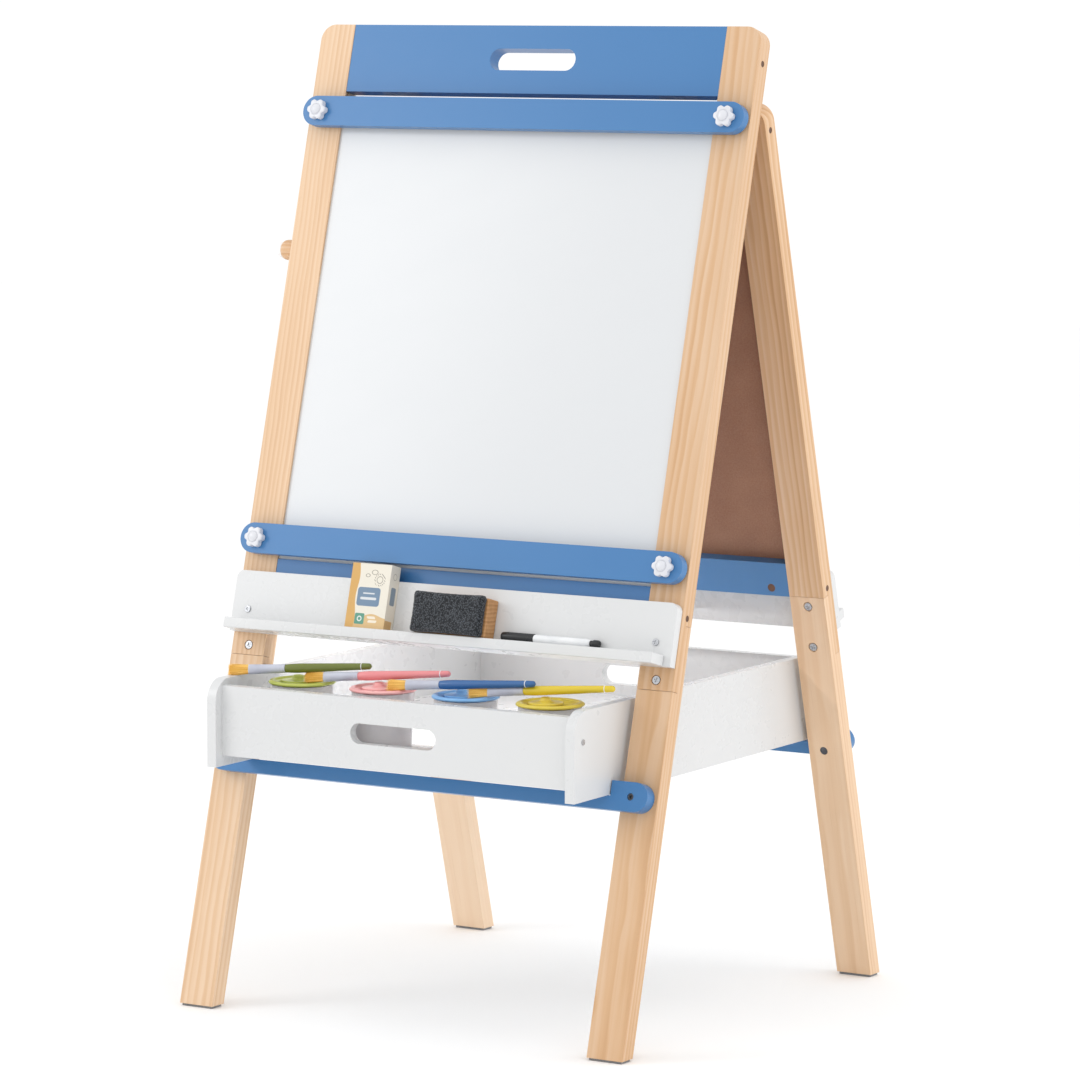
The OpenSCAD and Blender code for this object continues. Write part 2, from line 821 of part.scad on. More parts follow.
rear_frame() on_side(-1) lower_leg(rear_raise, rear_lean);  // rear_lower_leg_left
rear_frame() lower_leg(rear_raise, rear_lean);  // rear_lower_leg_right
rear_top_rail();
chalkboard();
rear_bottom_rail();
rear_frame() tray_back(rear_raise);  // rear_tray_back
rear_frame() tray_ledge(rear_raise);  // rear_tray_ledge
rear_frame() box_bar(rear_raise);  // rear_box_bar
rear_frame() feet(rear_lean);  // rear_feet
color(zinc) rear_frame() lap_bolts(rear_raise);  // rear_lap_bolts
color(brown) rear_frame()  // rear_rail_bolts
        rail_bolts([[rail_bolt_s + rear_raise, rail_n + rail_t], [rear_top_bolt_s, rail_n + rail_t]]);
color(zinc) rear_frame() tray_screws(rear_raise);  // rear_tray_screws
color(grey) rear_frame() bar_bolts(rear_raise);  // rear_bar_bolts
rear_hinge_leaves();
rear_frame() hinge_screws(hinge_rear_s);  // rear_hinge_screws
clamp_bar(upper_clamp_s);  // upper_clamp_bar
clamp_bar(lower_clamp_s);  // lower_clamp_bar
knob(-1, upper_clamp_s);  // knob_upper_left
knob(1, upper_clamp_s);  // knob_upper_right
knob(-1, lower_clamp_s);  // knob_lower_left
knob(1, lower_clamp_s);  // knob_lower_right
box_side(-1);  // box_side_left
box_side(1);  // box_side_right
box_panel(box_panel_y);  // box_front_panel
box_panel(box_back_y);  // box_back_panel
box_floor();
box_screws();
chalk_carton();
eraser_block();
eraser_felt();
marker();
paint_cups();
cup_lids();
paint_brushes();
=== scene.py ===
"""Looks of a children's folding easel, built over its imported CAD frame.

The CAD nodes keep their shapes and get eased edges and finishes. The knobs, the
paper roll's grip and the drawing kit are replaced by pieces worked out here.
Lengths inside a class are in millimetres; a Placement turns them into metres.
"""

from __future__ import annotations

import json
import logging
import math
from dataclasses import dataclass, field
from enum import Enum
from typing import Any, Callable, Sequence, Union

import bmesh
import bpy
import numpy as np
from mathutils import Matrix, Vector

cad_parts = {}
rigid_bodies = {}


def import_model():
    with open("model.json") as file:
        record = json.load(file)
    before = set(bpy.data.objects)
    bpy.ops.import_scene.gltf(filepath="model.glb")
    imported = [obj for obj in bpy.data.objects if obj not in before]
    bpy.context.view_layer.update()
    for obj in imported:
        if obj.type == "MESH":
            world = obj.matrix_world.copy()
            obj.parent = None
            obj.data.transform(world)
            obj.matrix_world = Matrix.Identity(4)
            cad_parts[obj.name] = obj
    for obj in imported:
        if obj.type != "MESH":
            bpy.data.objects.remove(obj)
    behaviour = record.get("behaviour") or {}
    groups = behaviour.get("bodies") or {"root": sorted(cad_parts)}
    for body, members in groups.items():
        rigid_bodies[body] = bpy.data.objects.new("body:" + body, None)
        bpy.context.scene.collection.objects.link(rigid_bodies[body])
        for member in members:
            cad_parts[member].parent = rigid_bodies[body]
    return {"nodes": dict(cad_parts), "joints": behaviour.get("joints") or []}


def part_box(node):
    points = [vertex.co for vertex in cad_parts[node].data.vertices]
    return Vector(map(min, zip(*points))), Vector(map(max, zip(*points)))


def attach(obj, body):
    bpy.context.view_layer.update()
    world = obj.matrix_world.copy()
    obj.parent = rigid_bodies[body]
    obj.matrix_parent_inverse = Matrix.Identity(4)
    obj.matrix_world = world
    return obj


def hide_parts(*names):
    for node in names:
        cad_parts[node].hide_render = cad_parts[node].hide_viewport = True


LOG = logging.getLogger("easel")
MM = 0.001
# Gaps in metres under which points are one, on made pieces and on CAD nodes.
SEAM_GAP = 2e-6
SLIVER = 1e-7
CAD_SEAM_GAP = 1e-5
# Eased edges of CAD nodes: angles in degrees from which faces count as flat or sharp.
FLAT_ANGLE = 1.0
EASE_ANGLE = 35.0
EASE_SEGMENTS = 3
# Middle of the row of cups behind the storage box's front end, in millimetres.
CUP_ROW = 77.0
Colour = tuple[float, float, float, float]
Point = tuple[float, float, float]


def linear(code: str) -> Colour:
    """Turns a display colour such as "#4a7fc0" into the linear one that shaders use.

    Args:
        code: six hexadecimal digits after a hash sign.

    Returns:
        The linear colour with full opacity.
    """
    display = np.array([int(code[i : i + 2], 16) / 255 for i in (1, 3, 5)])
    curved = np.where(display <= 0.04045, display / 12.92, ((display + 0.055) / 1.055) ** 2.4)
    return (*[float(c) for c in curved], 1.0)


# ---------------------------------------------------------------- shader maths


class Channel:
    """A number that varies over a surface. Arithmetic on it adds Math nodes."""

    def __init__(self, graph: "Graph", socket: bpy.types.NodeSocket) -> None:
        """Wraps an output socket of a graph's node."""
        self.graph = graph
        self.socket = socket

    def _math(self, operation: str, *values: Any) -> "Channel":
        """Adds one Math node on the given values, in order."""
        settings = {"operation": operation}
        node = self.graph.node("ShaderNodeMath", settings, dict(enumerate(values)))
        return Channel(self.graph, node.outputs[0])

    def __add__(self, other: "Number") -> "Channel":
        """The sum."""
        return self._math("ADD", self, other)

    __radd__ = __add__

    def __sub__(self, other: "Number") -> "Channel":
        """The difference."""
        return self._math("SUBTRACT", self, other)

    def __rsub__(self, other: "Number") -> "Channel":
        """The difference from a number."""
        return self._math("SUBTRACT", other, self)

    def __mul__(self, other: "Number") -> "Channel":
        """The product."""
        return self._math("MULTIPLY", self, other)

    __rmul__ = __mul__

    def __truediv__(self, other: "Number") -> "Channel":
        """The quotient."""
        return self._math("DIVIDE", self, other)

    def __abs__(self) -> "Channel":
        """The size without its sign."""
        return self._math("ABSOLUTE", self)

    def above(self, other: "Number") -> "Channel":
        """The larger of the two."""
        return self._math("MAXIMUM", self, other)

    def fraction(self) -> "Channel":
        """What is left after the whole number."""
        return self._math("FRACT", self)

    def root(self) -> "Channel":
        """The square root."""
        return self._math("SQRT", self)

    def sine(self) -> "Channel":
        """The sine of an angle in radians."""
        return self._math("SINE", self)

    def step(self, low: float, high: float) -> "Channel":
        """Rises smoothly from 0 at low to 1 at high, or falls if high is the smaller."""
        falls = high < low
        node = self.graph.node(
            "ShaderNodeMapRange",
            {"interpolation_type": "SMOOTHSTEP"},
            {0: self, 1: min(low, high), 2: max(low, high), 3: float(falls), 4: float(not falls)},
        )
        return Channel(self.graph, node.outputs[0])


Number = Union[Channel, float]


class Graph:
    """The nodes of one material."""

    def __init__(self, name: str) -> None:
        """Starts an empty material of that name."""
        self.material = bpy.data.materials.new(name)
        self.material.use_nodes = True
        self.tree = self.material.node_tree
        self.tree.nodes.clear()

    def node(self, kind: str, settings: dict[str, Any], inputs: dict[Any, Any]) -> bpy.types.Node:
        """Adds one node.

        Args:
            kind: the node's type.
            settings: its properties, set first; "stops" are a ramp's (position, colour) pairs.
            inputs: values, sockets or channels, by the input's name or number.

        Returns:
            The new node.
        """
        node = self.tree.nodes.new(kind)
        for key, value in settings.items():
            if key == "stops":
                ramp = node.color_ramp
                while len(ramp.elements) < len(value):
                    ramp.elements.new(1.0)
                for element, (place, colour) in zip(ramp.elements, value):
                    element.position = place
                    element.color = colour
            else:
                setattr(node, key, value)
        for key, value in inputs.items():
            socket = node.inputs[key]
            if isinstance(value, Channel):
                self.tree.links.new(value.socket, socket)
            elif isinstance(value, bpy.types.NodeSocket):
                self.tree.links.new(value, socket)
            else:
                socket.default_value = value
        return node

    def place(self, placement: "Placement") -> bpy.types.NodeSocket:
        """Object coordinates in a placement's own directions, in metres.

        Args:
            placement: whose axes and origin the pattern follows.

        Returns:
            The vector socket.
        """
        mapping = self.node(
            "ShaderNodeMapping",
            {"vector_type": "TEXTURE"},
            {
                "Vector": self.node("ShaderNodeTexCoord", {}, {}).outputs["Object"],
                "Location": placement.origin.tolist(),
                "Rotation": placement.turn(),
            },
        )
        return mapping.outputs[0]

    def parts(self, vector: bpy.types.NodeSocket) -> tuple[Channel, Channel, Channel]:
        """The three numbers of a vector."""
        split = self.node("ShaderNodeSeparateXYZ", {}, {0: vector})
        return tuple(Channel(self, o) for o in split.outputs)

    def join(self, x: Number, y: Number, z: Number) -> bpy.types.NodeSocket:
        """A vector from three numbers."""
        return self.node("ShaderNodeCombineXYZ", {}, {0: x, 1: y, 2: z}).outputs[0]

    def noise(
        self, vector: bpy.types.NodeSocket, scale: float, detail: float = 2, warp: float = 0
    ) -> Channel:
        """Smooth noise from 0 to 1, about 0.5."""
        node = self.node(
            "ShaderNodeTexNoise",
            {"noise_dimensions": "3D"},
            {"Vector": vector, "Scale": scale, "Detail": detail, "Distortion": warp},
        )
        return Channel(self, node.outputs[0])

    def cells(self, vector: bpy.types.NodeSocket, scale: float) -> Channel:
        """Distance to the nearest of many scattered points."""
        node = self.node("ShaderNodeTexVoronoi", {}, {"Vector": vector, "Scale": scale})
        return Channel(self, node.outputs["Distance"])

    def mix(self, mask: Number, low: Any, high: Any) -> bpy.types.NodeSocket:
        """A colour that is low where the mask is 0 and high where it is 1."""
        settings = {"data_type": "RGBA", "blend_type": "MIX"}
        return self.node("ShaderNodeMix", settings, {0: mask, 6: low, 7: high}).outputs[2]

    def ramp(self, value: Channel, stops: Sequence[tuple[float, Colour]]) -> bpy.types.NodeSocket:
        """The colour of a value on a row of stops."""
        return self.node("ShaderNodeValToRGB", {"stops": stops}, {0: value}).outputs[0]

    def bump(self, height: Channel, size: float, strength: float = 1.0) -> bpy.types.NodeSocket:
        """A normal from a height between 0 and 1 that stands for size in metres."""
        node = self.node(
            "ShaderNodeBump", {}, {"Height": height, "Distance": size, "Strength": strength}
        )
        return node.outputs[0]

    def finish(self, **inputs: Any) -> bpy.types.Material:
        """Ends the graph in a Principled shader with those inputs.

        Args:
            inputs: the shader's sockets, with underscores for spaces.

        Returns:
            The material.
        """
        named = {key.replace("_", " "): value for key, value in inputs.items()}
        shader = self.node("ShaderNodeBsdfPrincipled", {}, named)
        self.node("ShaderNodeOutputMaterial", {}, {"Surface": shader.outputs[0]})
        return self.material


# ---------------------------------------------------------------- placements and surfaces


@dataclass(frozen=True)
class Placement:
    """Three directions and an origin that pieces and patterns are laid out in.

    The columns of axes are the directions, in the row frame; origin is in metres.
    """

    axes: np.ndarray
    origin: np.ndarray

    def turn(self) -> tuple[float, float, float]:
        """The axes as Euler angles."""
        return tuple(Matrix(self.axes.tolist()).to_euler())

    def world(self, points: np.ndarray) -> np.ndarray:
        """Points in this placement's millimetres, as points of the row frame in metres."""
        return points * MM @ self.axes.T + self.origin

    def extent(self, node: bpy.types.Object) -> tuple[np.ndarray, np.ndarray]:
        """The lowest and highest corner of a CAD node along these directions, in millimetres."""
        flat = np.empty(len(node.data.vertices) * 3, np.float32)
        node.data.vertices.foreach_get("co", flat)
        local = (flat.reshape(-1, 3).astype(float) - self.origin) @ self.axes / MM
        return local.min(0), local.max(0)

    def moved(self, to: Sequence[float]) -> "Placement":
        """The same directions about another origin, given in these millimetres."""
        return Placement(self.axes, self.world(np.array(to, float)))

    def rolled(self) -> "Placement":
        """The same origin with the third axis along this one's first, for grain across."""
        return Placement(self.axes[:, [1, 2, 0]], self.origin)


@dataclass(frozen=True)
class Patch:
    """A grid of points, rows by columns by three, whose rings of columns may be closed."""

    points: np.ndarray
    closed: bool = True
    slot: int = 0

    def faces(self, first: int) -> np.ndarray:
        """Quads between neighbouring rows and columns, numbered from first."""
        rows, columns = self.points.shape[:2]
        row = np.arange(rows - 1)[:, None] * columns + first
        across = np.arange(columns if self.closed else columns - 1)[None, :]
        after = (across + 1) % columns
        return np.stack(
            [row + across, row + after, row + columns + after, row + columns + across], -1
        ).reshape(-1, 4)


def lathe(profile: Sequence[tuple[float, float]], steps: int = 48, slot: int = 0) -> Patch:
    """A profile of (radius, height) turned about the third axis.

    A point is (r cos t, r sin t, h) for the turn t from 0 to a full circle.

    Args:
        profile: radius and height pairs, from one end of the outline to the other.
        steps: points in a turn.
        slot: the material's number.

    Returns:
        The turned surface.
    """
    radius, height = np.array(profile, float).T
    turn = np.linspace(0, 2 * math.pi, steps, endpoint=False)
    points = np.stack(
        [
            radius[:, None] * np.cos(turn),
            radius[:, None] * np.sin(turn),
            np.repeat(height[:, None], steps, 1),
        ],
        -1,
    )
    return Patch(points, True, slot)


def eased(
    profile: Sequence[tuple[float, float, float]], steps: int = 4
) -> list[tuple[float, float]]:
    """Rounds the corners of an outline.

    Each corner (a, b, r) becomes a quadratic curve between the points at distance r
    before and after it: (1-t)^2 p0 + 2t(1-t) corner + t^2 p1.

    Args:
        profile: corners, each with its rounding.
        steps: pieces of each rounding.

    Returns:
        The points of the rounded outline.
    """
    corners = np.array([p[:2] for p in profile], float)
    out: list[tuple[float, float]] = []
    for i, (a, b, r) in enumerate(profile):
        if r <= 0 or i in (0, len(profile) - 1):
            out.append((a, b))
            continue
        here = corners[i]
        before, after = corners[i - 1] - here, corners[i + 1] - here
        start = here + before / np.linalg.norm(before) * min(r, np.linalg.norm(before) / 2)
        end = here + after / np.linalg.norm(after) * min(r, np.linalg.norm(after) / 2)
        t = np.linspace(0, 1, steps + 1)[:, None]
        curve = (1 - t) ** 2 * start + 2 * t * (1 - t) * here + t**2 * end
        out.extend(map(tuple, curve))
    return out


def pillow(size: Sequence[float], radius: float, cells: float) -> list[Patch]:
    """A box with round edges, as six grids of points.

    A point on the box is pulled to the nearest point of a smaller box, radius inside,
    and then pushed back out by the radius along the line between the two.

    Args:
        size: the box's three lengths, centred on the origin.
        radius: of its edges.
        cells: spacing of the grid.

    Returns:
        The six faces' patches.
    """
    half = np.array(size, float) / 2
    core = half - radius
    patches = []
    for axis in range(3):
        u, v = (axis + 1) % 3, (axis + 2) % 3
        grid_u, grid_v = (
            half[k] * np.linspace(-1, 1, max(3, int(round(size[k] / cells)) + 1)) for k in (u, v)
        )
        for side in (-1, 1):
            points = np.zeros((len(grid_u), len(grid_v), 3))
            points[..., u], points[..., v] = np.meshgrid(grid_u, grid_v, indexing="ij")
            points[..., axis] = side * half[axis]
            inner = np.clip(points, -core, core)
            away = points - inner
            away /= np.maximum(np.linalg.norm(away, axis=-1, keepdims=True), 1e-9)
            patches.append(Patch(inner + away * radius, False))
    return patches


def aimed(patch: Patch, start: Sequence[float], end: Sequence[float], up: Sequence[float]) -> Patch:
    """Turns a patch drawn up the third axis so that it runs from start towards end.

    A point (x, y, z) goes to start + x side + y lift + z along, where along is the unit
    vector to end, side is square to it and to up, and lift is square to both.

    Args:
        patch: what is turned.
        start: where its origin goes.
        end: the point that its third axis aims at.
        up: roughly the direction of its second axis.

    Returns:
        The turned patch.
    """
    along = np.array(end, float) - start
    along /= np.linalg.norm(along)
    side = np.cross(np.array(up, float), along)
    side /= np.linalg.norm(side)
    lift = np.cross(along, side)
    points = patch.points @ np.stack([side, lift, along]) + np.array(start, float)
    return Patch(points, patch.closed, patch.slot)


def shifted(patch: Patch, by: Sequence[float]) -> Patch:
    """The same patch, moved."""
    return Patch(patch.points + np.array(by, float), patch.closed, patch.slot)


def make_piece(
    name: str,
    patches: Sequence[Patch],
    materials: Sequence[bpy.types.Material],
    placement: Placement,
    sharp: float = 40.0,
) -> bpy.types.Object:
    """Puts patches into one mesh, closes its seams and points its faces outwards.

    Args:
        name: of the piece.
        patches: its surfaces, in the placement's millimetres.
        materials: one per slot number.
        placement: where the piece lies.
        sharp: angle in degrees from which an edge stays sharp.

    Returns:
        The new object, at the origin, with its place in its mesh.
    """
    corners = [p.points.reshape(-1, 3) for p in patches]
    firsts = np.cumsum([0] + [len(c) for c in corners[:-1]])
    quads = [p.faces(int(first)) for p, first in zip(patches, firsts)]
    slots = np.concatenate([np.full(len(q), p.slot) for q, p in zip(quads, patches)])
    mesh = bpy.data.meshes.new(name)
    points = placement.world(np.concatenate(corners))
    mesh.from_pydata(points.tolist(), [], np.concatenate(quads).tolist())
    mesh.polygons.foreach_set("material_index", slots.astype(np.int32))
    for material in materials:
        mesh.materials.append(material)
    shell = bmesh.new()
    shell.from_mesh(mesh)
    bmesh.ops.remove_doubles(shell, verts=shell.verts, dist=SEAM_GAP)
    bmesh.ops.dissolve_degenerate(shell, edges=shell.edges, dist=SLIVER)
    bmesh.ops.recalc_face_normals(shell, faces=shell.faces)
    shell.to_mesh(mesh)
    shell.free()
    mesh.polygons.foreach_set("use_smooth", np.ones(len(mesh.polygons), bool))
    mesh.set_sharp_from_angle(angle=math.radians(sharp))
    piece = bpy.data.objects.new(name, mesh)
    bpy.context.scene.collection.objects.link(piece)
    return piece


def stand_in(piece: bpy.types.Object, node: str, body: str) -> None:
    """Lets a made piece replace a CAD node.

    Args:
        piece: the made piece.
        node: the CAD node that it stands for.
        body: the CAD body that it rides on.
    """
    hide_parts(node)
    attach(piece, body)
    LOG.info("%s made", piece.name)


# ---------------------------------------------------------------- finishes


class Grain(Enum):
    """Which way the fibres of a wooden piece run, in its placement."""

    ALONG = "along"
    ACROSS = "across"


@dataclass(frozen=True)
class Pine:
    """Clear-lacquered pine: growth rings cut lengthways, fine fibres and pores."""

    pale: str = "#e3c6a8"
    ring: str = "#d7b088"
    deep: str = "#bf8f61"
    ring_gap: float = 0.0062
    heart: tuple[float, float] = (0.15, 0.11)

    def material(
        self, name: str, placement: Placement, seed: int, grain: Grain, painted_light_lift: float = 0.0
    ) -> bpy.types.Material:
        """Builds the finish for one piece.

        Rings are whole steps of the distance to the tree's heart, which lies beside the
        piece and wanders slowly along it.

        Args:
            name: of the material.
            placement: whose third axis is the leg's or rail's length.
            seed: gives each piece a stretch of timber of its own.
            grain: which way the fibres run.
            painted_light_lift: share of a paler colour, painted light where the piece is more lit,
                or of a deeper one, painted shade, if negative.

        Returns:
            The material.
        """
        rng = np.random.default_rng(seed)
        turned = placement if grain is Grain.ALONG else placement.rolled()
        shift = turned.axes @ rng.uniform(0, 3, 3) * [0, 0, 1]
        graph = Graph(name)
        here = graph.place(Placement(turned.axes, turned.origin - shift))
        x, y, z = graph.parts(here)
        wander = graph.noise(graph.join(x * 2.0, y * 2.0, z * 1.0 + float(seed)), 1.3, 1)
        ripple = graph.noise(graph.join(x * 5.0, y * 5.0, z * 0.9 + float(seed) * 3.1), 7.0, 2)
        side = float(rng.choice([-1, 1]))
        heart_x = side * self.heart[0] * rng.uniform(0.5, 1.2)
        heart_y = self.heart[1] * rng.uniform(-1.2, 1.2)
        dx = x - heart_x + (wander - 0.5) * 0.034
        dy = y - heart_y
        reach = (dx * dx + dy * dy).root()
        turns = reach / self.ring_gap + (ripple - 0.5) * 1.3
        phase = turns.fraction()
        late = phase.step(0.10, 0.80) * phase.step(1.0, 0.86)
        bands = graph.noise(graph.join(turns * 0.37, 0.0, z * 0.5 + float(seed)), 2.0, 1)
        fibres = graph.noise(graph.join(x * 1.0, y * 1.0, z * 0.012), 900.0, 3)
        streaks = graph.noise(graph.join(x * 1.0, y * 1.0, z * 0.02), 190.0, 2)
        broad = graph.noise(graph.join(x, y, z * 0.35 + float(seed)), 9.0, 2)
        pores = fibres.step(0.60, 0.74)
        tone = late * (bands * 0.9 - 0.12) + (streaks - 0.5) * 0.5 + (broad - 0.5) * 0.6 + 0.20
        base = graph.ramp(
            tone, [(0.0, linear(self.pale)), (0.45, linear(self.ring)), (1.0, linear(self.deep))]
        )
        # Painted light and shade: the whole piece is lifted towards a paler colour where more light
        # falls on it, or towards a deeper one where it is more in shade.
        base = graph.mix(abs(painted_light_lift), base, linear("#f3d9bd" if painted_light_lift > 0 else "#b98c62"))
        base = graph.mix(pores * 0.16, base, linear("#b98a58"))
        height = (1.0 - late * 0.4) + (fibres - 0.5) * 0.5
        return graph.finish(
            Base_Color=base,
            Roughness=0.42 + streaks * 0.16 + pores * 0.1,
            Normal=graph.bump(height, 0.00012, 0.5),
            Specular_IOR_Level=0.42,
        )


@dataclass(frozen=True)
class Paint:
    """Sprayed furniture paint: faint orange peel and slight unevenness."""

    colour: str
    light: str
    gloss: float = 0.34
    peel: float = 0.000008

    def material(self, name: str, placement: Placement) -> bpy.types.Material:
        """Builds the finish over a placement."""
        graph = Graph(name)
        here = graph.place(placement)
        cloud = graph.noise(here, 7.0, 3)
        fine = graph.noise(here, 420.0, 2)
        coat = graph.noise(here, 60.0, 2)
        base = graph.mix((cloud - 0.5) * 0.8 + 0.5, linear(self.colour), linear(self.light))
        return graph.finish(
            Base_Color=base,
            Roughness=self.gloss + (coat - 0.5) * 0.06 + (cloud - 0.5) * 0.06,
            Normal=graph.bump(fine * 0.5 + coat * 0.5, self.peel, 0.6),
            Specular_IOR_Level=0.5,
        )


@dataclass(frozen=True)
class Board:
    """A pressed hardboard panel with a writing surface on its outer face."""

    face: str
    gloss: float
    smear: float

    def material(self, name: str, placement: Placement, outward: float) -> bpy.types.Material:
        """Builds the finish of a board.

        Args:
            name: of the material.
            placement: whose second axis is the board's depth.
            outward: the depth, in metres, at which the writing surface ends.

        Returns:
            The material.
        """
        graph = Graph(name)
        here = graph.place(placement)
        x, y, z = graph.parts(here)
        core = y.step(outward - 0.0001, outward + 0.0001)
        fibre = graph.noise(here, 520.0, 4)
        mottle = graph.noise(here, 22.0, 4)
        swipe = graph.noise(graph.join(x * 1.0 + z * 0.6, y, z * 4.0 - x * 1.5), 6.0, 4)
        pressed = graph.ramp(
            mottle * 0.45 + fibre * 0.55,
            [(0.30, linear("#916752")), (0.55, linear("#9f765e")), (0.80, linear("#ac846c"))],
        )
        smears = swipe.step(0.35, 0.75) * self.smear
        outer = graph.mix(smears, linear(self.face), linear("#c9ccd0"))
        rough = core * (0.62 - self.gloss) + self.gloss + (swipe - 0.5) * 0.05
        return graph.finish(
            Base_Color=graph.mix(core, outer, pressed),
            Roughness=rough,
            Normal=graph.bump(fibre * core + swipe * 0.05, 0.00015, 0.5),
            Specular_IOR_Level=0.5,
        )


@dataclass(frozen=True)
class Metal:
    """Plated or turned metal with fine brushing and dulled spots."""

    colour: str = "#b9bbbf"
    gloss: float = 0.30

    def material(self, name: str, placement: Placement) -> bpy.types.Material:
        """Builds the finish over a placement."""
        graph = Graph(name)
        here = graph.place(placement)
        fine = graph.noise(here, 1400.0, 2)
        dull = graph.noise(here, 160.0, 3)
        spots = dull.step(0.45, 0.75) * 0.35
        return graph.finish(
            Base_Color=graph.mix(spots, linear(self.colour), linear("#85868b")),
            Metallic=1.0,
            Roughness=self.gloss + (dull - 0.5) * 0.25,
            Normal=graph.bump(fine, 0.00002, 0.4),
        )


@dataclass(frozen=True)
class Plastic:
    """Moulded plastic: slight clouding and a fine moulded texture."""

    colour: str
    shade: str
    gloss: float = 0.32
    alpha: float = 1.0

    def material(self, name: str, placement: Placement) -> bpy.types.Material:
        """Builds the finish over a placement."""
        graph = Graph(name)
        here = graph.place(placement)
        cloud = graph.noise(here, 45.0, 2)
        fine = graph.noise(here, 900.0, 2)
        return graph.finish(
            Base_Color=graph.mix(cloud.step(0.3, 0.8), linear(self.colour), linear(self.shade)),
            Roughness=self.gloss + (cloud - 0.5) * 0.12,
            Normal=graph.bump(fine, 0.00002, 0.5),
            Alpha=self.alpha,
        )


@dataclass(frozen=True)
class Felt:
    """Looped or pressed fibre cloth: lumps over fine hair."""

    low: str
    high: str
    lump: float
    depth: float

    def material(self, name: str, placement: Placement) -> bpy.types.Material:
        """Builds the finish over a placement."""
        graph = Graph(name)
        here = graph.place(placement)
        loops = graph.cells(here, 1 / self.lump)
        hair = graph.noise(here, 2.6 / self.lump, 3, 1.5)
        cloud = graph.noise(here, 40.0, 2)
        height = 1.0 - loops.step(0.0, 0.75) + (hair - 0.5) * 0.8
        # Painted shade: the colour follows the height, so the hollows between loops are darker; the
        # cloud adds tone that varies at random.
        tone = height * 0.6 + (cloud - 0.5) * 0.35 + 0.1
        return graph.finish(
            Base_Color=graph.ramp(tone, [(0.1, linear(self.low)), (0.85, linear(self.high))]),
            Roughness=0.95,
            Normal=graph.bump(height, self.depth, 0.9),
            Specular_IOR_Level=0.15,
            Sheen_Weight=0.25,
            Sheen_Roughness=0.5,
        )


@dataclass(frozen=True)
class PrintedCard:
    """A coated card pack with plain printed panels and line drawings, and no words."""

    size: tuple[float, float, float]
    paper: str = "#e6e1d4"
    band: str = "#d0a052"
    kraft: str = "#d6b37c"
    label: str = "#5d7f9f"
    badge: str = "#3f8f7c"
    ink: str = "#5c5650"

    def _panel(self, u: Channel, v: Channel, at: Sequence[float], r: float) -> Channel:
        """1 inside a rounded rectangle (middle u, middle v, half width, half height)."""
        du = (abs(u - at[0]) - (at[2] - r)).above(0.0)
        dv = (abs(v - at[1]) - (at[3] - r)).above(0.0)
        return ((du * du + dv * dv).root() - r).step(0.15, -0.15)

    def _ring(self, u: Channel, v: Channel, at: Sequence[float], pen: float) -> Channel:
        """1 on a drawn circle (middle u, middle v, radius)."""
        du, dv = u - at[0], v - at[1]
        return (abs((du * du + dv * dv).root() - at[2]) - pen).step(0.12, -0.12)

    def material(self, name: str, placement: Placement) -> bpy.types.Material:
        """Builds the finish; the placement's origin is the pack's lower left front corner."""
        graph = Graph(name)
        here = graph.place(placement)
        x, y, z = graph.parts(here)
        u, v, w = x / MM, z / MM, y / MM
        front = w.step(1.0, 0.2)
        right = u.step(self.size[0] - 0.9, self.size[0] - 0.3) * (1.0 - front)
        wave = ((v * 0.13).sine() * 1.3) + 11.0
        hill = (u * 0.16 + 2.2).sine() * 2.2 + 15.0
        band = (u - wave).step(0.2, -0.2)
        foot = (v - hill).step(0.2, -0.2)
        label = self._panel(u, v, (27.5, 37.0, 15.5, 11.0), 3.5)
        line = self._panel(u, v, (27.5, 41.0, 8.0, 0.8), 0.7)
        line = line.above(self._panel(u, v, (27.5, 35.0, 11.0, 1.5), 1.4))
        badge = self._panel(u, v, (19.0, 11.0, 6.5, 6.4), 1.6)
        dot = self._ring(u, v, (19.0, 11.0, 2.6), 0.7)
        sun = self._ring(u, v, (40.0, 57.5, 4.0), 0.42)
        rays = self._ring(u, v, (40.0, 57.5, 6.8), 0.8) * ((u + v) * 1.9).sine().step(0.1, 0.4)
        cloud_a = self._ring(u * 0.8, v * 1.2, (25.6, 79.2, 3.2), 0.4)
        cloud_b = self._ring(u * 0.8, v * 1.2, (18.4, 74.4, 2.2), 0.4)
        drawn = sun.above(rays).above(cloud_a).above(cloud_b) * (1.0 - band)
        stick_a = self._panel(u + v * 0.5, v, (41.5, 13.0, 5.6, 1.5), 1.4)
        stick_b = self._panel(u - v * 0.35, v, (34.0, 8.5, 6.0, 1.5), 1.4)
        middle = self.size[1] / 2
        side_label = self._panel(w, v, (middle, 40.0, 5.0, 10.5), 2.0)
        side_band = self._panel(w, v, (middle - 4.0, 5.5, 9.0, 5.5), 0.5)
        side_ink = self._ring(w, v, (middle, 63.0, 3.6), 0.3)
        base = linear(self.paper)
        for mask, colour in (
            (front * foot, self.kraft),
            (front * band, self.band),
            (front * stick_a.above(stick_b) * 0.8, "#f3eee2"),
            (front * drawn * 0.75, self.ink),
            (front * label, self.label),
            (front * line * 0.75, "#eef1f2"),
            (front * badge, self.badge),
            (front * dot * 0.8, "#eef1ee"),
            (right * side_label, "#71879b"),
            (right * side_band, "#cfa66a"),
            (right * side_ink * 0.7, self.ink),
        ):
            base = graph.mix(mask, base, linear(colour))
        fibre = graph.noise(here, 700.0, 3)
        cloud = graph.noise(here, 30.0, 2)
        base = graph.mix((cloud - 0.5) * 0.2 + 0.1, base, linear("#cdc0a6"))
        return graph.finish(
            Base_Color=base,
            Roughness=0.48 + (fibre - 0.5) * 0.15,
            Normal=graph.bump(fibre, 0.00003, 0.5),
        )


# ---------------------------------------------------------------- dressing CAD nodes


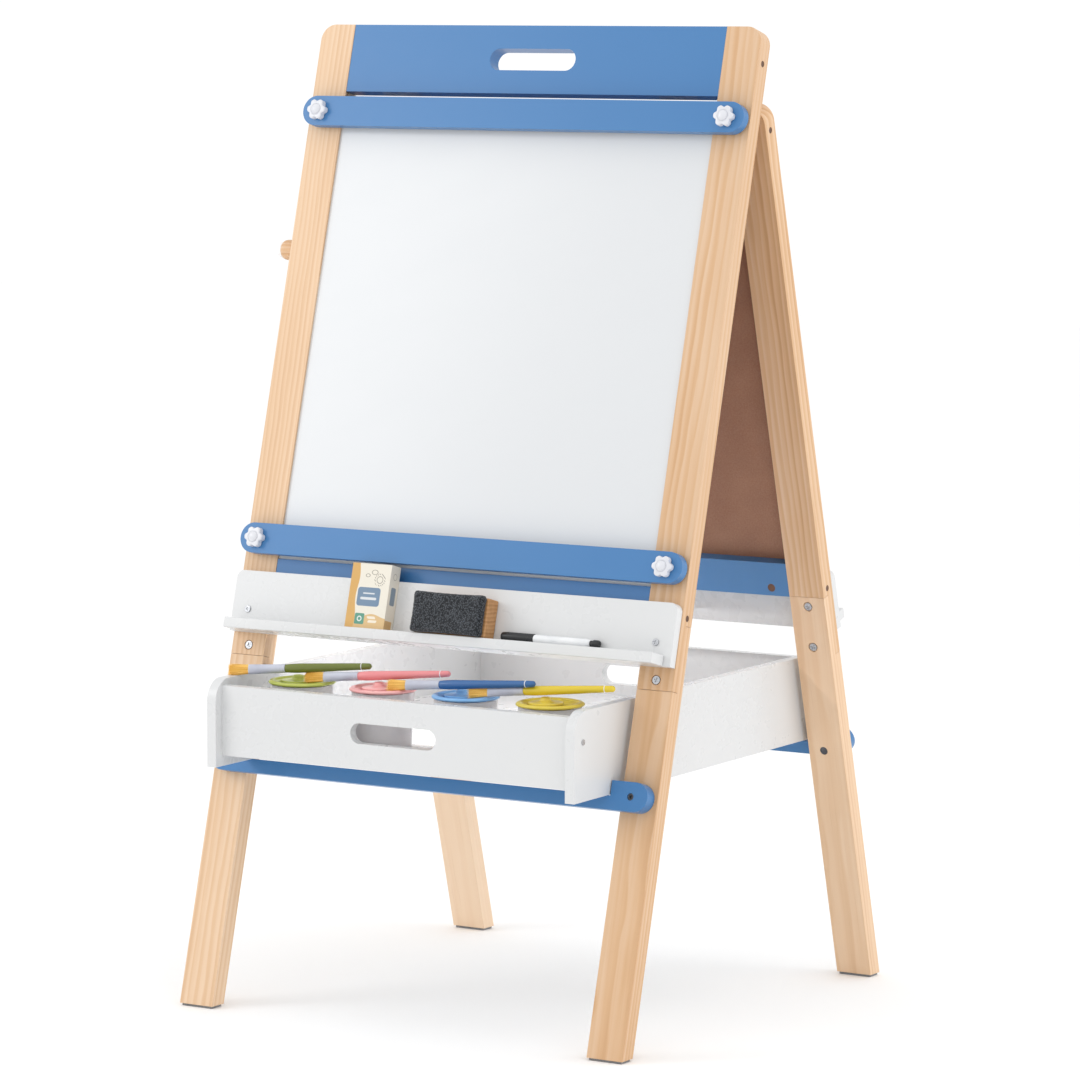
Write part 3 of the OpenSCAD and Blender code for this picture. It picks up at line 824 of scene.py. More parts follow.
def ease_edges(node: bpy.types.Object, width: float) -> None:
    """Rounds a CAD node's edges with modifiers, on its flat faces joined into one each.

    Args:
        node: the CAD object.
        width: of the rounding, in millimetres.
    """
    mesh = node.data
    if "custom_normal" in mesh.attributes:
        mesh.attributes.remove(mesh.attributes["custom_normal"])
    mesh.polygons.foreach_set("use_smooth", np.ones(len(mesh.polygons), bool))
    weld = node.modifiers.new("close_seams", "WELD")
    weld.merge_threshold = CAD_SEAM_GAP
    flatten = node.modifiers.new("join_flat_faces", "DECIMATE")
    flatten.decimate_type = "DISSOLVE"
    flatten.angle_limit = math.radians(FLAT_ANGLE)
    bevel = node.modifiers.new("ease_edges", "BEVEL")
    bevel.width = width * MM
    bevel.segments = EASE_SEGMENTS
    bevel.limit_method = "ANGLE"
    bevel.angle_limit = math.radians(EASE_ANGLE)
    bevel.use_clamp_overlap = True
    bevel.miter_outer = "MITER_ARC"
    even = node.modifiers.new("even_shading", "WEIGHTED_NORMAL")
    even.weight = 100
    even.keep_sharp = True


def dress(node: bpy.types.Object, material: bpy.types.Material, width: float) -> None:
    """Gives a CAD node its finish and edges eased by a width in millimetres."""
    node.data.materials.clear()
    node.data.materials.append(material)
    ease_edges(node, width)


# ---------------------------------------------------------------- sub-assemblies


@dataclass
class LeanedFrame:
    """One of the two frames: legs, rails, board, tray, box bar and fasteners."""

    nodes: dict[str, bpy.types.Object]
    prefix: str
    placement: Placement
    board: str
    board_finish: Board
    blue: Paint
    white: Paint
    seeds: int
    # Painted light and shade per leg half (upper left, upper right, lower left, lower right): paler
    # where light falls on it, deeper where it is in shade.
    painted_light_lifts: tuple[float, float, float, float] = (0.25, -0.22, 0.22, -0.16)
    leg_ease: float = 2.2
    board_skin: float = 0.0004

    def legs(self) -> None:
        """Dresses the four leg halves, each with timber of its own and a painted lighter or darker
        tone for how light falls on it.
        """
        parts = ("upper_leg_left", "upper_leg_right", "lower_leg_left", "lower_leg_right")
        for seed, (part, lift) in enumerate(zip(parts, self.painted_light_lifts), self.seeds):
            name = f"{self.prefix}_{part}"
            pine = Pine().material(f"pine_{name}", self.placement, seed, Grain.ALONG, lift)
            dress(self.nodes[name], pine, self.leg_ease)

    def rails(self) -> None:
        """Dresses the blue rails, the box bar and the white tray."""
        for part, colour, width in (
            ("top_rail", "blue", 1.2),
            ("bottom_rail", "blue", 1.2),
            ("box_bar", "blue", 1.6),
            ("tray_back", "white", 1.2),
            ("tray_ledge", "white", 1.2),
        ):
            name = f"{self.prefix}_{part}"
            paint = self.blue if colour == "blue" else self.white
            dress(self.nodes[name], paint.material(f"{colour}_{name}", self.placement), width)

    def panel(self) -> None:
        """Dresses the board, whose writing skin is thin and on its outer face."""
        node = self.nodes[self.board]
        low, _ = self.placement.extent(node)
        skin = low[1] * MM + self.board_skin
        finish = self.board_finish.material(f"{self.board}_finish", self.placement, skin)
        dress(node, finish, 0.3)

    def fasteners(self) -> None:
        """Dresses bolts, screws, hinge leaves and feet."""
        finishes = {
            "zinc": Metal(),
            "black_steel": Metal("#5b5c60", 0.45),
            "brown_caps": Plastic("#6a4630", "#4f3423", 0.5),
            "foot_felt": Felt("#7b7c7e", "#a9aaac", 0.0012, 0.0003),
        }
        made = {
            name: finish.material(f"{name}_{self.prefix}", self.placement)
            for name, finish in finishes.items()
        }
        for part, name, width in (
            ("lap_bolts", "zinc", 0.25),
            ("tray_screws", "zinc", 0.25),
            ("hinge_leaves", "zinc", 0.3),
            ("hinge_screws", "zinc", 0.3),
            ("bar_bolts", "black_steel", 0.3),
            ("rail_bolts", "brown_caps", 0.3),
            ("feet", "foot_felt", 0.6),
        ):
            dress(self.nodes[f"{self.prefix}_{part}"], made[name], width)

    def build(self) -> None:
        """Dresses the whole frame."""
        self.legs()
        self.rails()
        self.panel()
        self.fasteners()
        LOG.info("%s frame dressed", self.prefix)


@dataclass
class ClampSet:
    """The two clamp bars and their four lobed knobs."""

    nodes: dict[str, bpy.types.Object]
    placement: Placement
    blue: Paint
    lobes: int = 6
    radius: float = 12.6
    height: float = 8.0
    dome: float = 3.0
    valley_depth: float = 0.21
    valley_power: float = 1.7

    def knob_surface(self) -> Patch:
        """A lobed knob about the third axis, from its base to the middle of its dome.

        The outline's radius is R (1 - d v), for the valleys' depth d. A valley v is half
        of one minus the cosine of the turn times the number of lobes, to a power that
        narrows it. Each row of the profile is a share of the outline and a height; the
        rows near the middle are a plain dome.
        """
        turn = np.linspace(0, 2 * math.pi, 144, endpoint=False)
        valley = ((1 - np.cos(self.lobes * turn)) / 2) ** self.valley_power
        outline = self.radius * (1.0 - self.valley_depth * valley)
        rows = eased(
            [
                (0.0, 0.0, 0),
                (0.97, 0.0, 0.02),
                (1.0, 0.6, 0.6),
                (1.0, self.height, 1.6),
                (0.66, self.height + 0.2, 0.05),
                (0.60, self.height - 0.5, 0.05),
            ],
            5,
        )
        share, level = (column[:, None] for column in np.array(rows).T)
        smooth = np.clip((share - 0.55) / 0.30, 0, 1)
        radius = share * (outline * smooth + self.radius * 0.86 * (1 - smooth))
        arc = np.linspace(0, math.pi / 2, 10)[:, None]
        cap_r = self.radius * 0.50 * np.cos(arc) * np.ones_like(turn)
        cap_h = self.height - 0.5 + (self.dome + 0.5) * np.sin(arc)
        radius = np.concatenate([radius, cap_r])
        level = np.concatenate([level, cap_h]) * np.ones_like(turn)
        return Patch(np.stack([radius * np.cos(turn), radius * np.sin(turn), level], -1))

    def build(self) -> None:
        """Dresses the bars and replaces the knobs."""
        for name in ("upper_clamp_bar", "lower_clamp_bar"):
            dress(self.nodes[name], self.blue.material(f"blue_{name}", self.placement), 1.6)
        steel = Metal().material("zinc_studs", self.placement)
        dress(self.nodes["clamp_studs"], steel, 0.2)
        white = Plastic("#dcdde2", "#d3d5dc", 0.22).material("knob_white", self.placement)
        surface = self.knob_surface()
        for level in ("upper", "lower"):
            for side in ("left", "right"):
                node = f"knob_{level}_{side}"
                low, high = self.placement.extent(self.nodes[node])
                middle = (low + high) / 2
                base = (middle[0], high[1], middle[2])
                patch = aimed(surface, base, (base[0], base[1] - 1, base[2]), (0, 0, 1))
                knob = make_piece(f"star_{node}", [patch], [white], self.placement, 60)
                stand_in(knob, node, f"{level}_{side}_knob")


@dataclass
class PaperRoll:
    """The rod behind the legs, its brackets, its turned grip and the grip's cap."""

    nodes: dict[str, bpy.types.Object]
    placement: Placement
    button_depth: float = 6.0

    def turned(
        self,
        node: str,
        name: str,
        profile: Callable[[float, float], list[Point]],
        finish: bpy.types.Material,
        steps: int,
    ) -> bpy.types.Object:
        """Turns a piece about the rod's line, from a node's right end to its left one.

        Args:
            node: the CAD node whose place and size it takes.
            name: of the piece.
            profile: gives the outline's corners from the node's radius and length.
            finish: the piece's material.
            steps: pieces of each rounding.

        Returns:
            The new object.
        """
        low, high = self.placement.extent(self.nodes[node])
        middle = (low + high) / 2
        outline = eased(profile((high[2] - low[2]) / 2, high[0] - low[0]), steps)
        start, end = (high[0], *middle[1:]), (low[0], *middle[1:])
        patch = aimed(lathe(outline), start, end, (0, 0, 1))
        return make_piece(name, [patch], [finish], self.placement)

    @staticmethod
    def grip_outline(r: float, length: float) -> list[Point]:
        """A handle that narrows at both ends."""
        return [
            (0, 0, 0),
            (r * 0.78, 0, 2.0),
            (r * 0.80, length * 0.18, 3.0),
            (r * 0.98, length * 0.42, 5.0),
            (r * 0.99, length * 0.86, 3.0),
            (r * 0.80, length, 2.0),
            (0, length, 0),
        ]

    def button_outline(self, r: float, _: float) -> list[Point]:
        """A domed cap, whose depth doesn't follow the node's length."""
        return [(0, 0, 0), (r, 0, 1.0), (r, self.button_depth, 3.6), (0, self.button_depth, 0)]

    def build(self) -> None:
        """Dresses rod and brackets and replaces the grip and cap with turned ones."""
        pine, place = Pine(ring_gap=0.005), self.placement
        brackets = pine.material("pine_brackets", place, 31, Grain.ALONG)
        dress(self.nodes["roll_brackets"], brackets, 1.5)
        dress(self.nodes["roll_rod"], pine.material("pine_rod", place, 32, Grain.ACROSS), 0.8)
        wood = pine.material("pine_grip", place, 33, Grain.ACROSS)
        grip = self.turned("roll_rod_grip", "turned_grip", self.grip_outline, wood, 6)
        stand_in(grip, "roll_rod_grip", "roll_holder")
        white = Plastic("#f4f4f5", "#e6e7ea", 0.3).material("button_white", place)
        cap = self.turned("roll_rod_cap", "grip_button", self.button_outline, white, 8)
        stand_in(cap, "roll_rod_cap", "roll_holder")


@dataclass
class StorageBox:
    """The white box that rests on the two bars."""

    nodes: dict[str, bpy.types.Object]
    placement: Placement
    white: Paint

    def build(self) -> None:
        """Dresses the box's panels and screws."""
        for name, width in (
            ("box_side_left", 1.4),
            ("box_side_right", 1.4),
            ("box_front_panel", 1.4),
            ("box_back_panel", 1.4),
            ("box_floor", 0.3),
        ):
            dress(self.nodes[name], self.white.material(f"white_{name}", self.placement), width)
        dress(self.nodes["box_screws"], Metal().material("zinc_box", self.placement), 0.25)
        LOG.info("storage box dressed")


@dataclass
class TrayKit:
    """What stands on the front tray: the chalk carton, the eraser and the marker."""

    nodes: dict[str, bpy.types.Object]
    placement: Placement
    pad_ease: float = 4.6
    pad_cells: float = 0.8
    loop_height: float = 0.30
    pen_cap: float = 43.2
    pen_tail: float = 117.0

    def carton(self) -> None:
        """Dresses the card pack, with its print laid out from its lower left corner."""
        node = self.nodes["chalk_carton"]
        low, high = self.placement.extent(node)
        card = PrintedCard(tuple(high - low))
        dress(node, card.material("printed_card", self.placement.moved(low)), 0.5)

    def eraser(self) -> None:
        """Dresses the pine block in deeper colours that paint its shade, and makes its fleece pad.

        The pad is a round-edged box whose long sides sink a little between the corners,
        roughened by loops: a sum of sines of the three coordinates with mixed phases.
        """
        # The block's pine is deeper than the legs' as painted shade, for the shade the block sits
        # in on the tray.
        block = Pine(ring_gap=0.0045, pale="#cfa173", ring="#b98755", deep="#94653a")
        wood = block.material("pine_eraser", self.placement, 41, Grain.ACROSS)
        dress(self.nodes["eraser_block"], wood, 2.0)
        low, high = self.placement.extent(self.nodes["eraser_felt"])
        size, middle = high - low, (high + low) / 2
        patches = []
        for patch in pillow(size, self.pad_ease, self.pad_cells):
            p = patch.points
            t = p[..., 0] / (size[0] / 2)
            s = p[..., 2] / (size[2] / 2)
            sink = 1 - 0.050 * (1 - t**2)[..., None] * np.array([0, 0, 1])
            pinch = 1 - 0.022 * (1 - s**2)[..., None] * np.array([1, 0, 0])
            loops = (
                np.sin(p[..., 0] * 2.3 + 1.7 * np.sin(p[..., 2] * 1.9))
                * np.sin(p[..., 2] * 2.6 + 1.3 * np.sin(p[..., 0] * 1.7))
                + 0.6 * np.sin(p[..., 1] * 3.1 + p[..., 0] * 3.7 + p[..., 2] * 4.3)
            )
            out = p / np.linalg.norm(p / size, axis=-1, keepdims=True) / 60
            raised = p * sink * pinch + out * loops[..., None] * self.loop_height
            patches.append(shifted(Patch(raised, False), middle))
        fleece = Felt("#1d2024", "#666b72", 0.0019, 0.0010)
        finish = fleece.material("charcoal_fleece", self.placement)
        pad = make_piece("eraser_pad", patches, [finish], self.placement, 180)
        stand_in(pad, "eraser_felt", "board_eraser")

    def marker(self) -> None:
        """Makes the marker pen: a capped barrel with a stepped tail, on its side."""
        low, high = self.placement.extent(self.nodes["marker"])
        middle, length, r = (low + high) / 2, high[0] - low[0], (high[2] - low[2]) / 2
        cap_end, tail = self.pen_cap, self.pen_tail
        outlines = (
            [
                (0, 0, 0),
                (r * 0.9, 0, 1.5),
                (r, 6, 3),
                (r, 43, 0.5),
                (r * 0.86, cap_end, 0.2),
                (0, cap_end, 0),
            ],
            [
                (0, cap_end, 0),
                (r * 0.86, cap_end, 0.3),
                (r * 0.9, 46, 1),
                (r * 0.9, 112, 2),
                (r * 0.66, tail, 2),
                (0, tail, 0),
            ],
            [
                (0, tail - 0.1, 0),
                (r * 0.62, tail - 0.1, 0.2),
                (r * 0.62, 120, 0.6),
                (r * 0.78, 121, 1.0),
                (r * 0.76, length - 1, 2.5),
                (0, length, 0),
            ],
        )
        start, aim = (low[0], *middle[1:]), (high[0], *middle[1:])
        patches = [
            aimed(lathe(eased(outline), 40, slot), start, aim, (0, 0, 1))
            for slot, outline in enumerate(outlines)
        ]
        finishes = [
            plastic.material(name, self.placement)
            for name, plastic in (
                ("pen_cap", Plastic("#26272a", "#1c1d20", 0.28)),
                ("pen_barrel", Plastic("#f1f2f3", "#e4e6e8", 0.22)),
                ("pen_tail", Plastic("#222326", "#191a1c", 0.4)),
            )
        ]
        pen = make_piece("dry_wipe_pen", patches, finishes, self.placement)
        stand_in(pen, "marker", "board_marker")

    def build(self) -> None:
        """Makes the three items."""
        self.carton()
        self.eraser()
        self.marker()
        LOG.info("tray kit made")


class Tint(Enum):
    """The paint colours of the cups' lids and the brushes' handles: lid, its shade, handle."""

    GREEN = ("#bfc75f", "#a9b44c", "#6c7633")
    PINK = ("#f5b8b6", "#eea8a8", "#e58d90")
    BLUE = ("#86baea", "#6fa4dc", "#33639b")
    YELLOW = ("#e6d056", "#dac244", "#dcc235")


@dataclass
class PaintSet:
    """Four lidded paint cups in the box and the brushes that lie on them."""

    nodes: dict[str, bpy.types.Object]
    placement: Placement
    floor: float = 28.7
    pitch: float = 112.0
    cup_y: float = 3.0
    cup_h: float = 66.0
    cup_r: float = 36.5
    base_r: float = 33.0
    lid_r: float = 39.5
    lid_top: float = 97.7
    tips: tuple[Point, ...] = ((-250, -30, 107.5), (-158, -8, 103), (-42, -11, 103), (66, -9, 103))
    ends: tuple[Point, ...] = ((-77, 12, 119.5), (31, 11, 119), (155, -7, 119), (250, 8, 119))
    hairs: int = 170
    ferrule: float = 46.0
    bristle: float = 27.0

    def middles(self) -> list[Point]:
        """The middles of the cups' bases."""
        return [((i - 1.5) * self.pitch, self.cup_y, 0.0) for i in range(4)]

    def cups(self) -> None:
        """Turns the translucent cups: a tapered wall with a foot ring and a rolled lip."""
        f, h = self.floor, self.floor + self.cup_h
        wall = lathe(
            eased(
                [
                    (0, f + 1.2, 0),
                    (self.base_r - 5, f + 1.2, 1),
                    (self.base_r - 4, f, 1),
                    (self.base_r, f, 2.4),
                    (self.base_r + 0.6, f + 12, 1),
                    (self.cup_r, h - 1, 0.5),
                    (self.cup_r - 1.5, h - 1, 0.5),
                    (self.base_r - 1.0, f + 12, 1),
                    (self.base_r - 1.8, f + 2.8, 2),
                    (0, f + 2.8, 0),
                ]
            ),
            64,
        )
        frosted = Plastic("#f4f1f2", "#ebe8ea", 0.3, 0.6)
        finish = frosted.material("frosted_plastic", self.placement)
        walls = [shifted(wall, m) for m in self.middles()]
        piece = make_piece("frosted_cups", walls, [finish], self.placement)
        stand_in(piece, "paint_cups", "cup_set")

    def lids(self) -> None:
        """Turns the lids: a rim, a sunk top that falls into a funnel, and a stopper."""
        top, r = self.lid_top + 1.0, self.lid_r - 0.4
        low = top - 3.8
        cover = eased(
            [
                (r - 2.0, low, 0),
                (r - 0.2, low, 0.5),
                (r, low + 0.9, 0.5),
                (r, top - 1.6, 1.2),
                (r - 2.6, top, 1.8),
                (r - 6.0, top - 0.2, 1.2),
                (r - 7.6, top - 2.2, 1.2),
                (28.5, top - 2.6, 1.5),
                (25.5, top - 5.0, 2.0),
                (13.0, top - 30.0, 2.0),
                (11.4, top - 30.4, 0.4),
                (24.0, top - 5.4, 2.0),
                (27.6, top - 3.8, 1.5),
                (r - 8.4, top - 3.6, 1.0),
                (r - 2.9, low + 2.4, 0.5),
                (r - 2.0, low, 0),
            ]
        )
        stopper = eased(
            [
                (0, top - 3.4, 0),
                (20.0, top - 3.4, 1.0),
                (20.0, top - 1.2, 1.0),
                (12.0, top - 0.8, 2.0),
                (6.6, top + 0.6, 2.0),
                (6.0, top + 4.6, 2.4),
                (0, top + 5.4, 0),
            ]
        )
        patches, finishes = [], []
        for slot, (middle, tint) in enumerate(zip(self.middles(), Tint)):
            patches.append(shifted(lathe(cover, 72, slot), middle))
            patches.append(shifted(lathe(stopper, 48, slot), (middle[0] - 7, middle[1] + 2, 0)))
            light, shade, _ = tint.value
            name = f"lid_{tint.name.lower()}"
            finishes.append(Plastic(light, shade, 0.3).material(name, self.placement))
        piece = make_piece("cup_lid_rings", patches, finishes, self.placement)
        stand_in(piece, "cup_lids", "cup_set")

    def handle(self, length: float, slot: int, ring: int) -> list[Patch]:
        """A painted handle that swells past the ferrule, with a pale ring near its round end.

        Args:
            length: from the bristles' tip to the handle's end.
            slot: the paint's material number.
            ring: the ring's material number.

        Returns:
            The handle's turned surface and the ring's.
        """
        first, last = self.bristle + self.ferrule - 2, length
        body = [
            (0, first, 0),
            (4.3, first, 0.3),
            (4.9, first + 2.5, 1),
            (5.6, first + 14, 9),
            (4.9, first + 50, 20),
            (3.9, last - 10, 3),
            (3.5, last - 2, 2),
            (0, last, 0),
        ]
        band = [
            (3.6, last - 13.2, 0),
            (4.25, last - 13.1, 0.2),
            (4.25, last - 12.2, 0.2),
            (3.6, last - 12.1, 0),
        ]
        return [lathe(eased(body, 5), 32, slot), lathe(eased(band, 2), 32, ring)]

    def ferrule_patch(self, slot: int) -> Patch:
        """The metal sleeve, round at the handle and flat at the bristles.

        A row at share t of the length is the ellipse (a cos, b sin). From the handle to
        the bristles a grows from 5.2 to 5.9 and b shrinks from 5.2 to 2.7, with two
        crimped rings near the handle.
        """
        t = np.linspace(0, 1, 60)[:, None]
        turn = np.linspace(0, 2 * math.pi, 40, endpoint=False)[None, :]
        crimp = sum(0.35 * np.exp(-(((t - c) / 0.012) ** 2)) for c in (0.86, 0.93))
        flat = np.clip((0.75 - t) / 0.75, 0, 1) ** 1.3
        wide = 5.2 + 0.7 * flat - crimp
        thin = 5.2 - 2.5 * flat - crimp
        level = self.bristle - 1 + t * self.ferrule
        points = np.stack([wide * np.cos(turn), thin * np.sin(turn), level + 0 * turn], -1)
        inside = points[:1] * [0.86, 0.8, 1]
        closing = points[-1:] * [0.8, 0.8, 1]
        return Patch(np.concatenate([inside, points, closing]), True, slot)

    def tuft(self, rng: np.random.Generator, slot: int) -> list[Patch]:
        """The bristles: a soft core and many single hairs, each a thin three-sided cone.

        A hair starts at (x, y) on a flat ellipse in the ferrule and ends at 1.38 times
        that, bent a little by its own random amount.

        Args:
            rng: gives each hair its root, bend and reach.
            slot: the core's material number; the hairs have the next.

        Returns:
            The core's patch and one for each hair.
        """
        span = np.linspace(0, 1, 9)[:, None]
        turn = np.linspace(0, 2 * math.pi, 24, endpoint=False)[None, :]
        swell = 1 + 0.30 * (1 - span) ** 0.8
        taper = np.where(span < 0.12, 0.72 + 2.3 * span, 1.0)
        core = np.stack(
            [
                5.2 * swell * taper * np.cos(turn),
                2.3 * swell * taper * np.sin(turn),
                (0.09 + 0.95 * span) * self.bristle + 0 * turn,
            ],
            -1,
        )
        cap = core[:1] * [0.0, 0.0, 1.0]
        patches = [Patch(np.concatenate([cap, core]), True, slot)]
        root = rng.uniform(-1, 1, (self.hairs, 2))
        root /= np.maximum(np.linalg.norm(root, axis=1, keepdims=True), 1)
        bend = rng.normal(0, 0.32, (self.hairs, 2))
        reach = rng.uniform(0.0, 2.6, self.hairs)
        rows = []
        corner = np.arange(3) * 2 * math.pi / 3
        for share in (1.0, 0.6, 0.25, 0.0):
            grown = 1 - share
            middle = root * [5.3, 2.4] * (1 + 0.38 * grown) + bend * grown**2
            level = share * self.bristle + grown * reach
            ring = 0.30 * (1 - 0.75 * grown)
            rows.append(
                np.stack(
                    [
                        middle[:, :1] + ring * np.cos(corner),
                        middle[:, 1:] + ring * np.sin(corner),
                        np.repeat(level[:, None], 3, 1),
                    ],
                    -1,
                )
            )
        strands = np.stack(rows, 1)
        patches.extend(Patch(strand, True, slot + 1) for strand in strands)
        return patches

    def brushes(self) -> None:
        """Puts a brush between each tip and end, with its flat side up."""
        plastics = [
            ("bristle_core", Plastic("#e3ae4a", "#c68f2a", 0.7)),
            ("bristle_hair", Plastic("#ffd67c", "#eebb4c", 0.6)),
            ("ferrule_tin", Plastic("#c3c6d3", "#b4b7c6", 0.34)),
            ("handle_ring", Plastic("#e9e9ec", "#dededf", 0.3)),
        ]
        patches = []
        for i, (tip, end, tint) in enumerate(zip(self.tips, self.ends, Tint)):
            rng = np.random.default_rng(70 + i)
            length = float(np.linalg.norm(np.array(end, float) - tip))
            made = [*self.tuft(rng, 0), self.ferrule_patch(2), *self.handle(length, 4 + i, 3)]
            patches.extend(aimed(p, tip, end, (0, -0.97, 0.25)) for p in made)
            paint = tint.value[2]
            plastics.append((f"handle_{tint.name.lower()}", Plastic(paint, paint, 0.22)))
        finishes = [plastic.material(name, self.placement) for name, plastic in plastics]
        piece = make_piece("flat_brushes", patches, finishes, self.placement)
        stand_in(piece, "paint_brushes", "brush_set")

    def build(self) -> None:
        """Makes the cups, lids and brushes."""
        self.cups()
        self.lids()
        self.brushes()
        LOG.info("paint set made")


# ---------------------------------------------------------------- studio


@dataclass(frozen=True)
class Softbox:
    """A square light panel at a place, aimed at a point."""

    name: str
    place: Point
    aim: Point
    size: float
    power: float
    spread: float = 180.0

    def build(self) -> None:
        """Adds the light."""
        data = bpy.data.lights.new(self.name, "AREA")
        data.shape = "SQUARE"
        data.size = self.size
        data.energy = self.power
        data.spread = math.radians(self.spread)
        lamp = bpy.data.objects.new(self.name, data)
        away = np.array(self.place) - np.array(self.aim)
        lamp.matrix_world = facing(np.array(self.place), away / np.linalg.norm(away))
        lamp.visible_camera = False
        bpy.context.scene.collection.objects.link(lamp)


def facing(place: np.ndarray, back: np.ndarray, roll: float = 0.0) -> Matrix:
    """The pose of a camera or light whose own third axis points along back.

    Args:
        place: where it stands.
        back: unit vector away from what it looks at.
        roll: turn about that axis, in radians.

    Returns:
        The matrix.
    """
    right = np.cross([0.0, 0.0, 1.0], back)
    right /= np.linalg.norm(right)
    top = np.cross(back, right)
    c, s = math.cos(roll), math.sin(roll)
    columns = [c * right + s * top, c * top - s * right, back, place]
    pose = np.eye(4)
    pose[:3] = np.array(columns).T
    return Matrix(pose.tolist())


@dataclass
class Studio:
    """The camera, the pale floor and the soft light.

    The small light that fills the storage box hangs between the boards, in the gap that
    is left between the two frames when the easel is folded.
    """

    place: Point = (2.8772, -4.75087, 1.1015)
    azimuth: float = 30.988
    elevation: float = 5.756
    roll: float = 0.570
    lens: float = 156.663
    sky: float = 1.03
    floor_reach: float = 14.0
    boxes: tuple[Softbox, ...] = field(
        default_factory=lambda: (
            Softbox("left_softbox", (-2.1, -2.0, 1.8), (-0.4, -0.2, 0.7), 1.3, 15.0),
            Softbox("right_softbox", (3.2, 1.0, 1.0), (0, 0, 0.5), 1.6, 16.0),
            Softbox("top_softbox", (0.9, -0.4, 3.0), (-0.1, 0.0, 0.4), 1.8, 7.0),
            Softbox("box_fill", (0.0, -0.085, 0.68), (0.02, -0.08, 0.3), 0.04, 1.2, 125.0),
        )
    )

    def camera(self) -> None:
        """Adds the camera: azimuth 0 looks along +Y, and elevation looks down."""
        data = bpy.data.cameras.new("camera")
        data.sensor_fit = "HORIZONTAL"
        data.sensor_width = 36.0
        data.lens = self.lens
        data.clip_end = 60.0
        body = bpy.data.objects.new("camera", data)
        az, el = math.radians(self.azimuth), math.radians(self.elevation)
        back = np.array([math.sin(az) * math.cos(el), -math.cos(az) * math.cos(el), math.sin(el)])
        body.matrix_world = facing(np.array(self.place), back, math.radians(self.roll))
        bpy.context.scene.collection.objects.link(body)
        bpy.context.scene.camera = body

    def floor(self) -> None:
        """Adds a large pale floor under the feet."""
        graph = Graph("studio_floor")
        spread = graph.noise(graph.place(Placement(np.eye(3), np.zeros(3))), 3.0, 2)
        graph.finish(
            Base_Color=graph.mix(spread, linear("#fdfdfd"), linear("#fefefe")),
            Roughness=0.9 + (spread - 0.5) * 0.1,
            Specular_IOR_Level=0.05,
        )
        far = self.floor_reach
        corners = [(-far, -far, 0), (far, -far, 0), (far, far, 0), (-far, far, 0)]
        mesh = bpy.data.meshes.new("floor")
        mesh.from_pydata(corners, [], [(0, 1, 2, 3)])
        mesh.materials.append(graph.material)
        floor = bpy.data.objects.new("floor", mesh)
        bpy.context.scene.collection.objects.link(floor)

    def light(self) -> None:
        """Adds the white surround and the softboxes."""
        world = bpy.data.worlds.new("studio")
        world.use_nodes = True
        background = world.node_tree.nodes["Background"]
        background.inputs["Color"].default_value = (1.0, 1.0, 1.0, 1.0)
        background.inputs["Strength"].default_value = self.sky
        bpy.context.scene.world = world
        for box in self.boxes:
            box.build()

    def build(self) -> None:
        """Sets the whole studio."""
        self.camera()
        self.floor()
        self.light()
        bpy.context.scene.view_settings.view_transform = "Standard"
        LOG.info("studio set")


# ---------------------------------------------------------------- main


def leaned(joints: Sequence[dict], name: str, sign: float) -> np.ndarray:
    """Axes of a leaned part from the slide joint that moves square to its face.

    Args:
        joints: of the record.
        name: the joint whose axis is along the part's depth.
        sign: -1 where the joint moves outwards, 1 where it moves inwards.

    Returns:
        A matrix whose columns are across, depth and up.
    """
    depth = sign * np.array(next(j["axis"] for j in joints if j["name"] == name), float)
    depth /= np.linalg.norm(depth)
    across = np.array([1.0, 0.0, 0.0])
    return np.stack([across, depth, np.cross(across, depth)], 1)


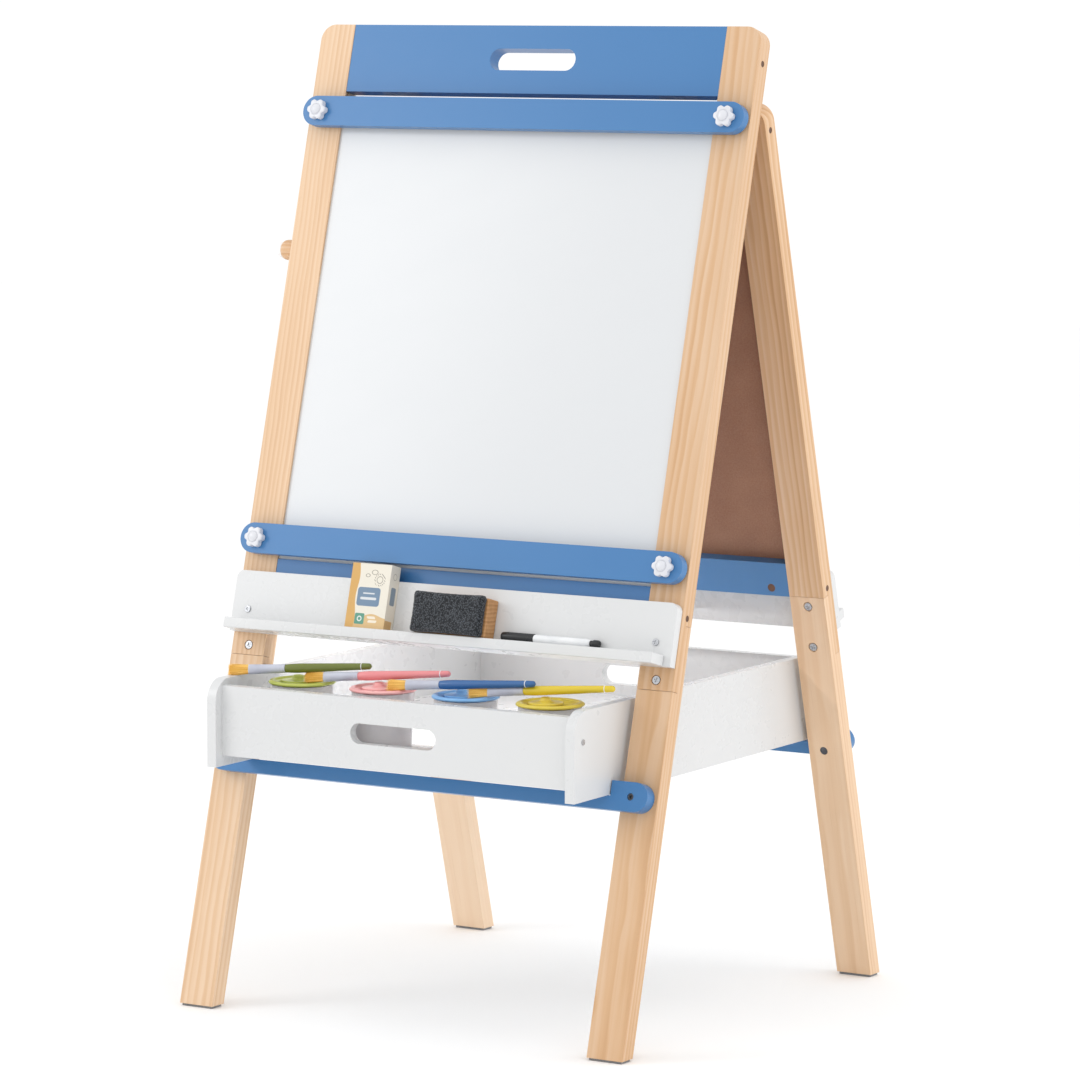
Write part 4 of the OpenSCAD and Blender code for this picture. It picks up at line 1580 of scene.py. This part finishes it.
def slab_axes(node: bpy.types.Object) -> np.ndarray:
    """Axes of a leaned slab that faces backwards, from its corners.

    The direction in which the corners spread most, apart from the row frame's X, is up.

    Args:
        node: a CAD node that is a plain slab.

    Returns:
        A matrix whose columns are across, depth into the easel and up.
    """
    flat = np.empty(len(node.data.vertices) * 3, np.float32)
    node.data.vertices.foreach_get("co", flat)
    corners = np.unique(flat.reshape(-1, 3).round(5), axis=0)[:, 1:].astype(float)
    up = np.linalg.svd(corners - corners.mean(0))[2][0]
    up *= np.sign(up[1])
    across, rise = np.array([-1.0, 0.0, 0.0]), np.array([0.0, *up])
    return np.stack([across, np.cross(rise, across), rise], 1)


def main() -> None:
    """Builds everything in order."""
    logging.basicConfig(level=logging.INFO, format="%(message)s")
    for stray in list(bpy.data.objects):
        bpy.data.objects.remove(stray)
    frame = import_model()
    nodes, joints = frame["nodes"], frame["joints"]
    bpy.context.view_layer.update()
    Studio().build()

    front_low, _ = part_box("front_upper_leg_left")
    _, front_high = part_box("front_upper_leg_right")
    across = (front_low.x + front_high.x) / 2
    front_axes = leaned(joints, "chalk_pack_lift", -1)
    front = Placement(front_axes, np.array([across, front_low.y, front_low.z]))
    rear_low, rear_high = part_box("rear_upper_leg_left")
    rear_axes = slab_axes(nodes["chalkboard"])
    rear = Placement(rear_axes, np.array([across, rear_high.y, rear_low.z]))
    box = Placement(leaned(joints, "cup_set_slide", 1), np.array([across, 0.0, 0.0]))
    low, _ = box.extent(nodes["box_side_left"])
    box = box.moved((0.0, low[1] + CUP_ROW, low[2]))

    blue = Paint("#3b75ac", "#447bb1", 0.3)
    white = Paint("#d4d5d6", "#d9dada", 0.28)
    dry_wipe = Board("#d6d8da", 0.20, 0.06)
    chalky = Board("#23302b", 0.6, 0.09)
    LeanedFrame(nodes, "front", front, "whiteboard", dry_wipe, blue, white, 1).build()
    dress(nodes["top_panel"], blue.material("blue_top_panel", front), 1.4)
    dress(nodes["hinge_pins"], Metal().material("zinc_pins", front), 0.2)
    # Painted light: the rear leg halves are lifted paler where light falls on them, the lower left
    # one most.
    painted_light_tones = (0.3, -0.05, 0.75, 0.3)
    LeanedFrame(nodes, "rear", rear, "chalkboard", chalky, blue, white, 11, painted_light_tones).build()
    ClampSet(nodes, front, blue).build()
    PaperRoll(nodes, front).build()
    StorageBox(nodes, box, white).build()
    TrayKit(nodes, front).build()
    PaintSet(nodes, box).build()


if __name__ == "__main__":
    main()
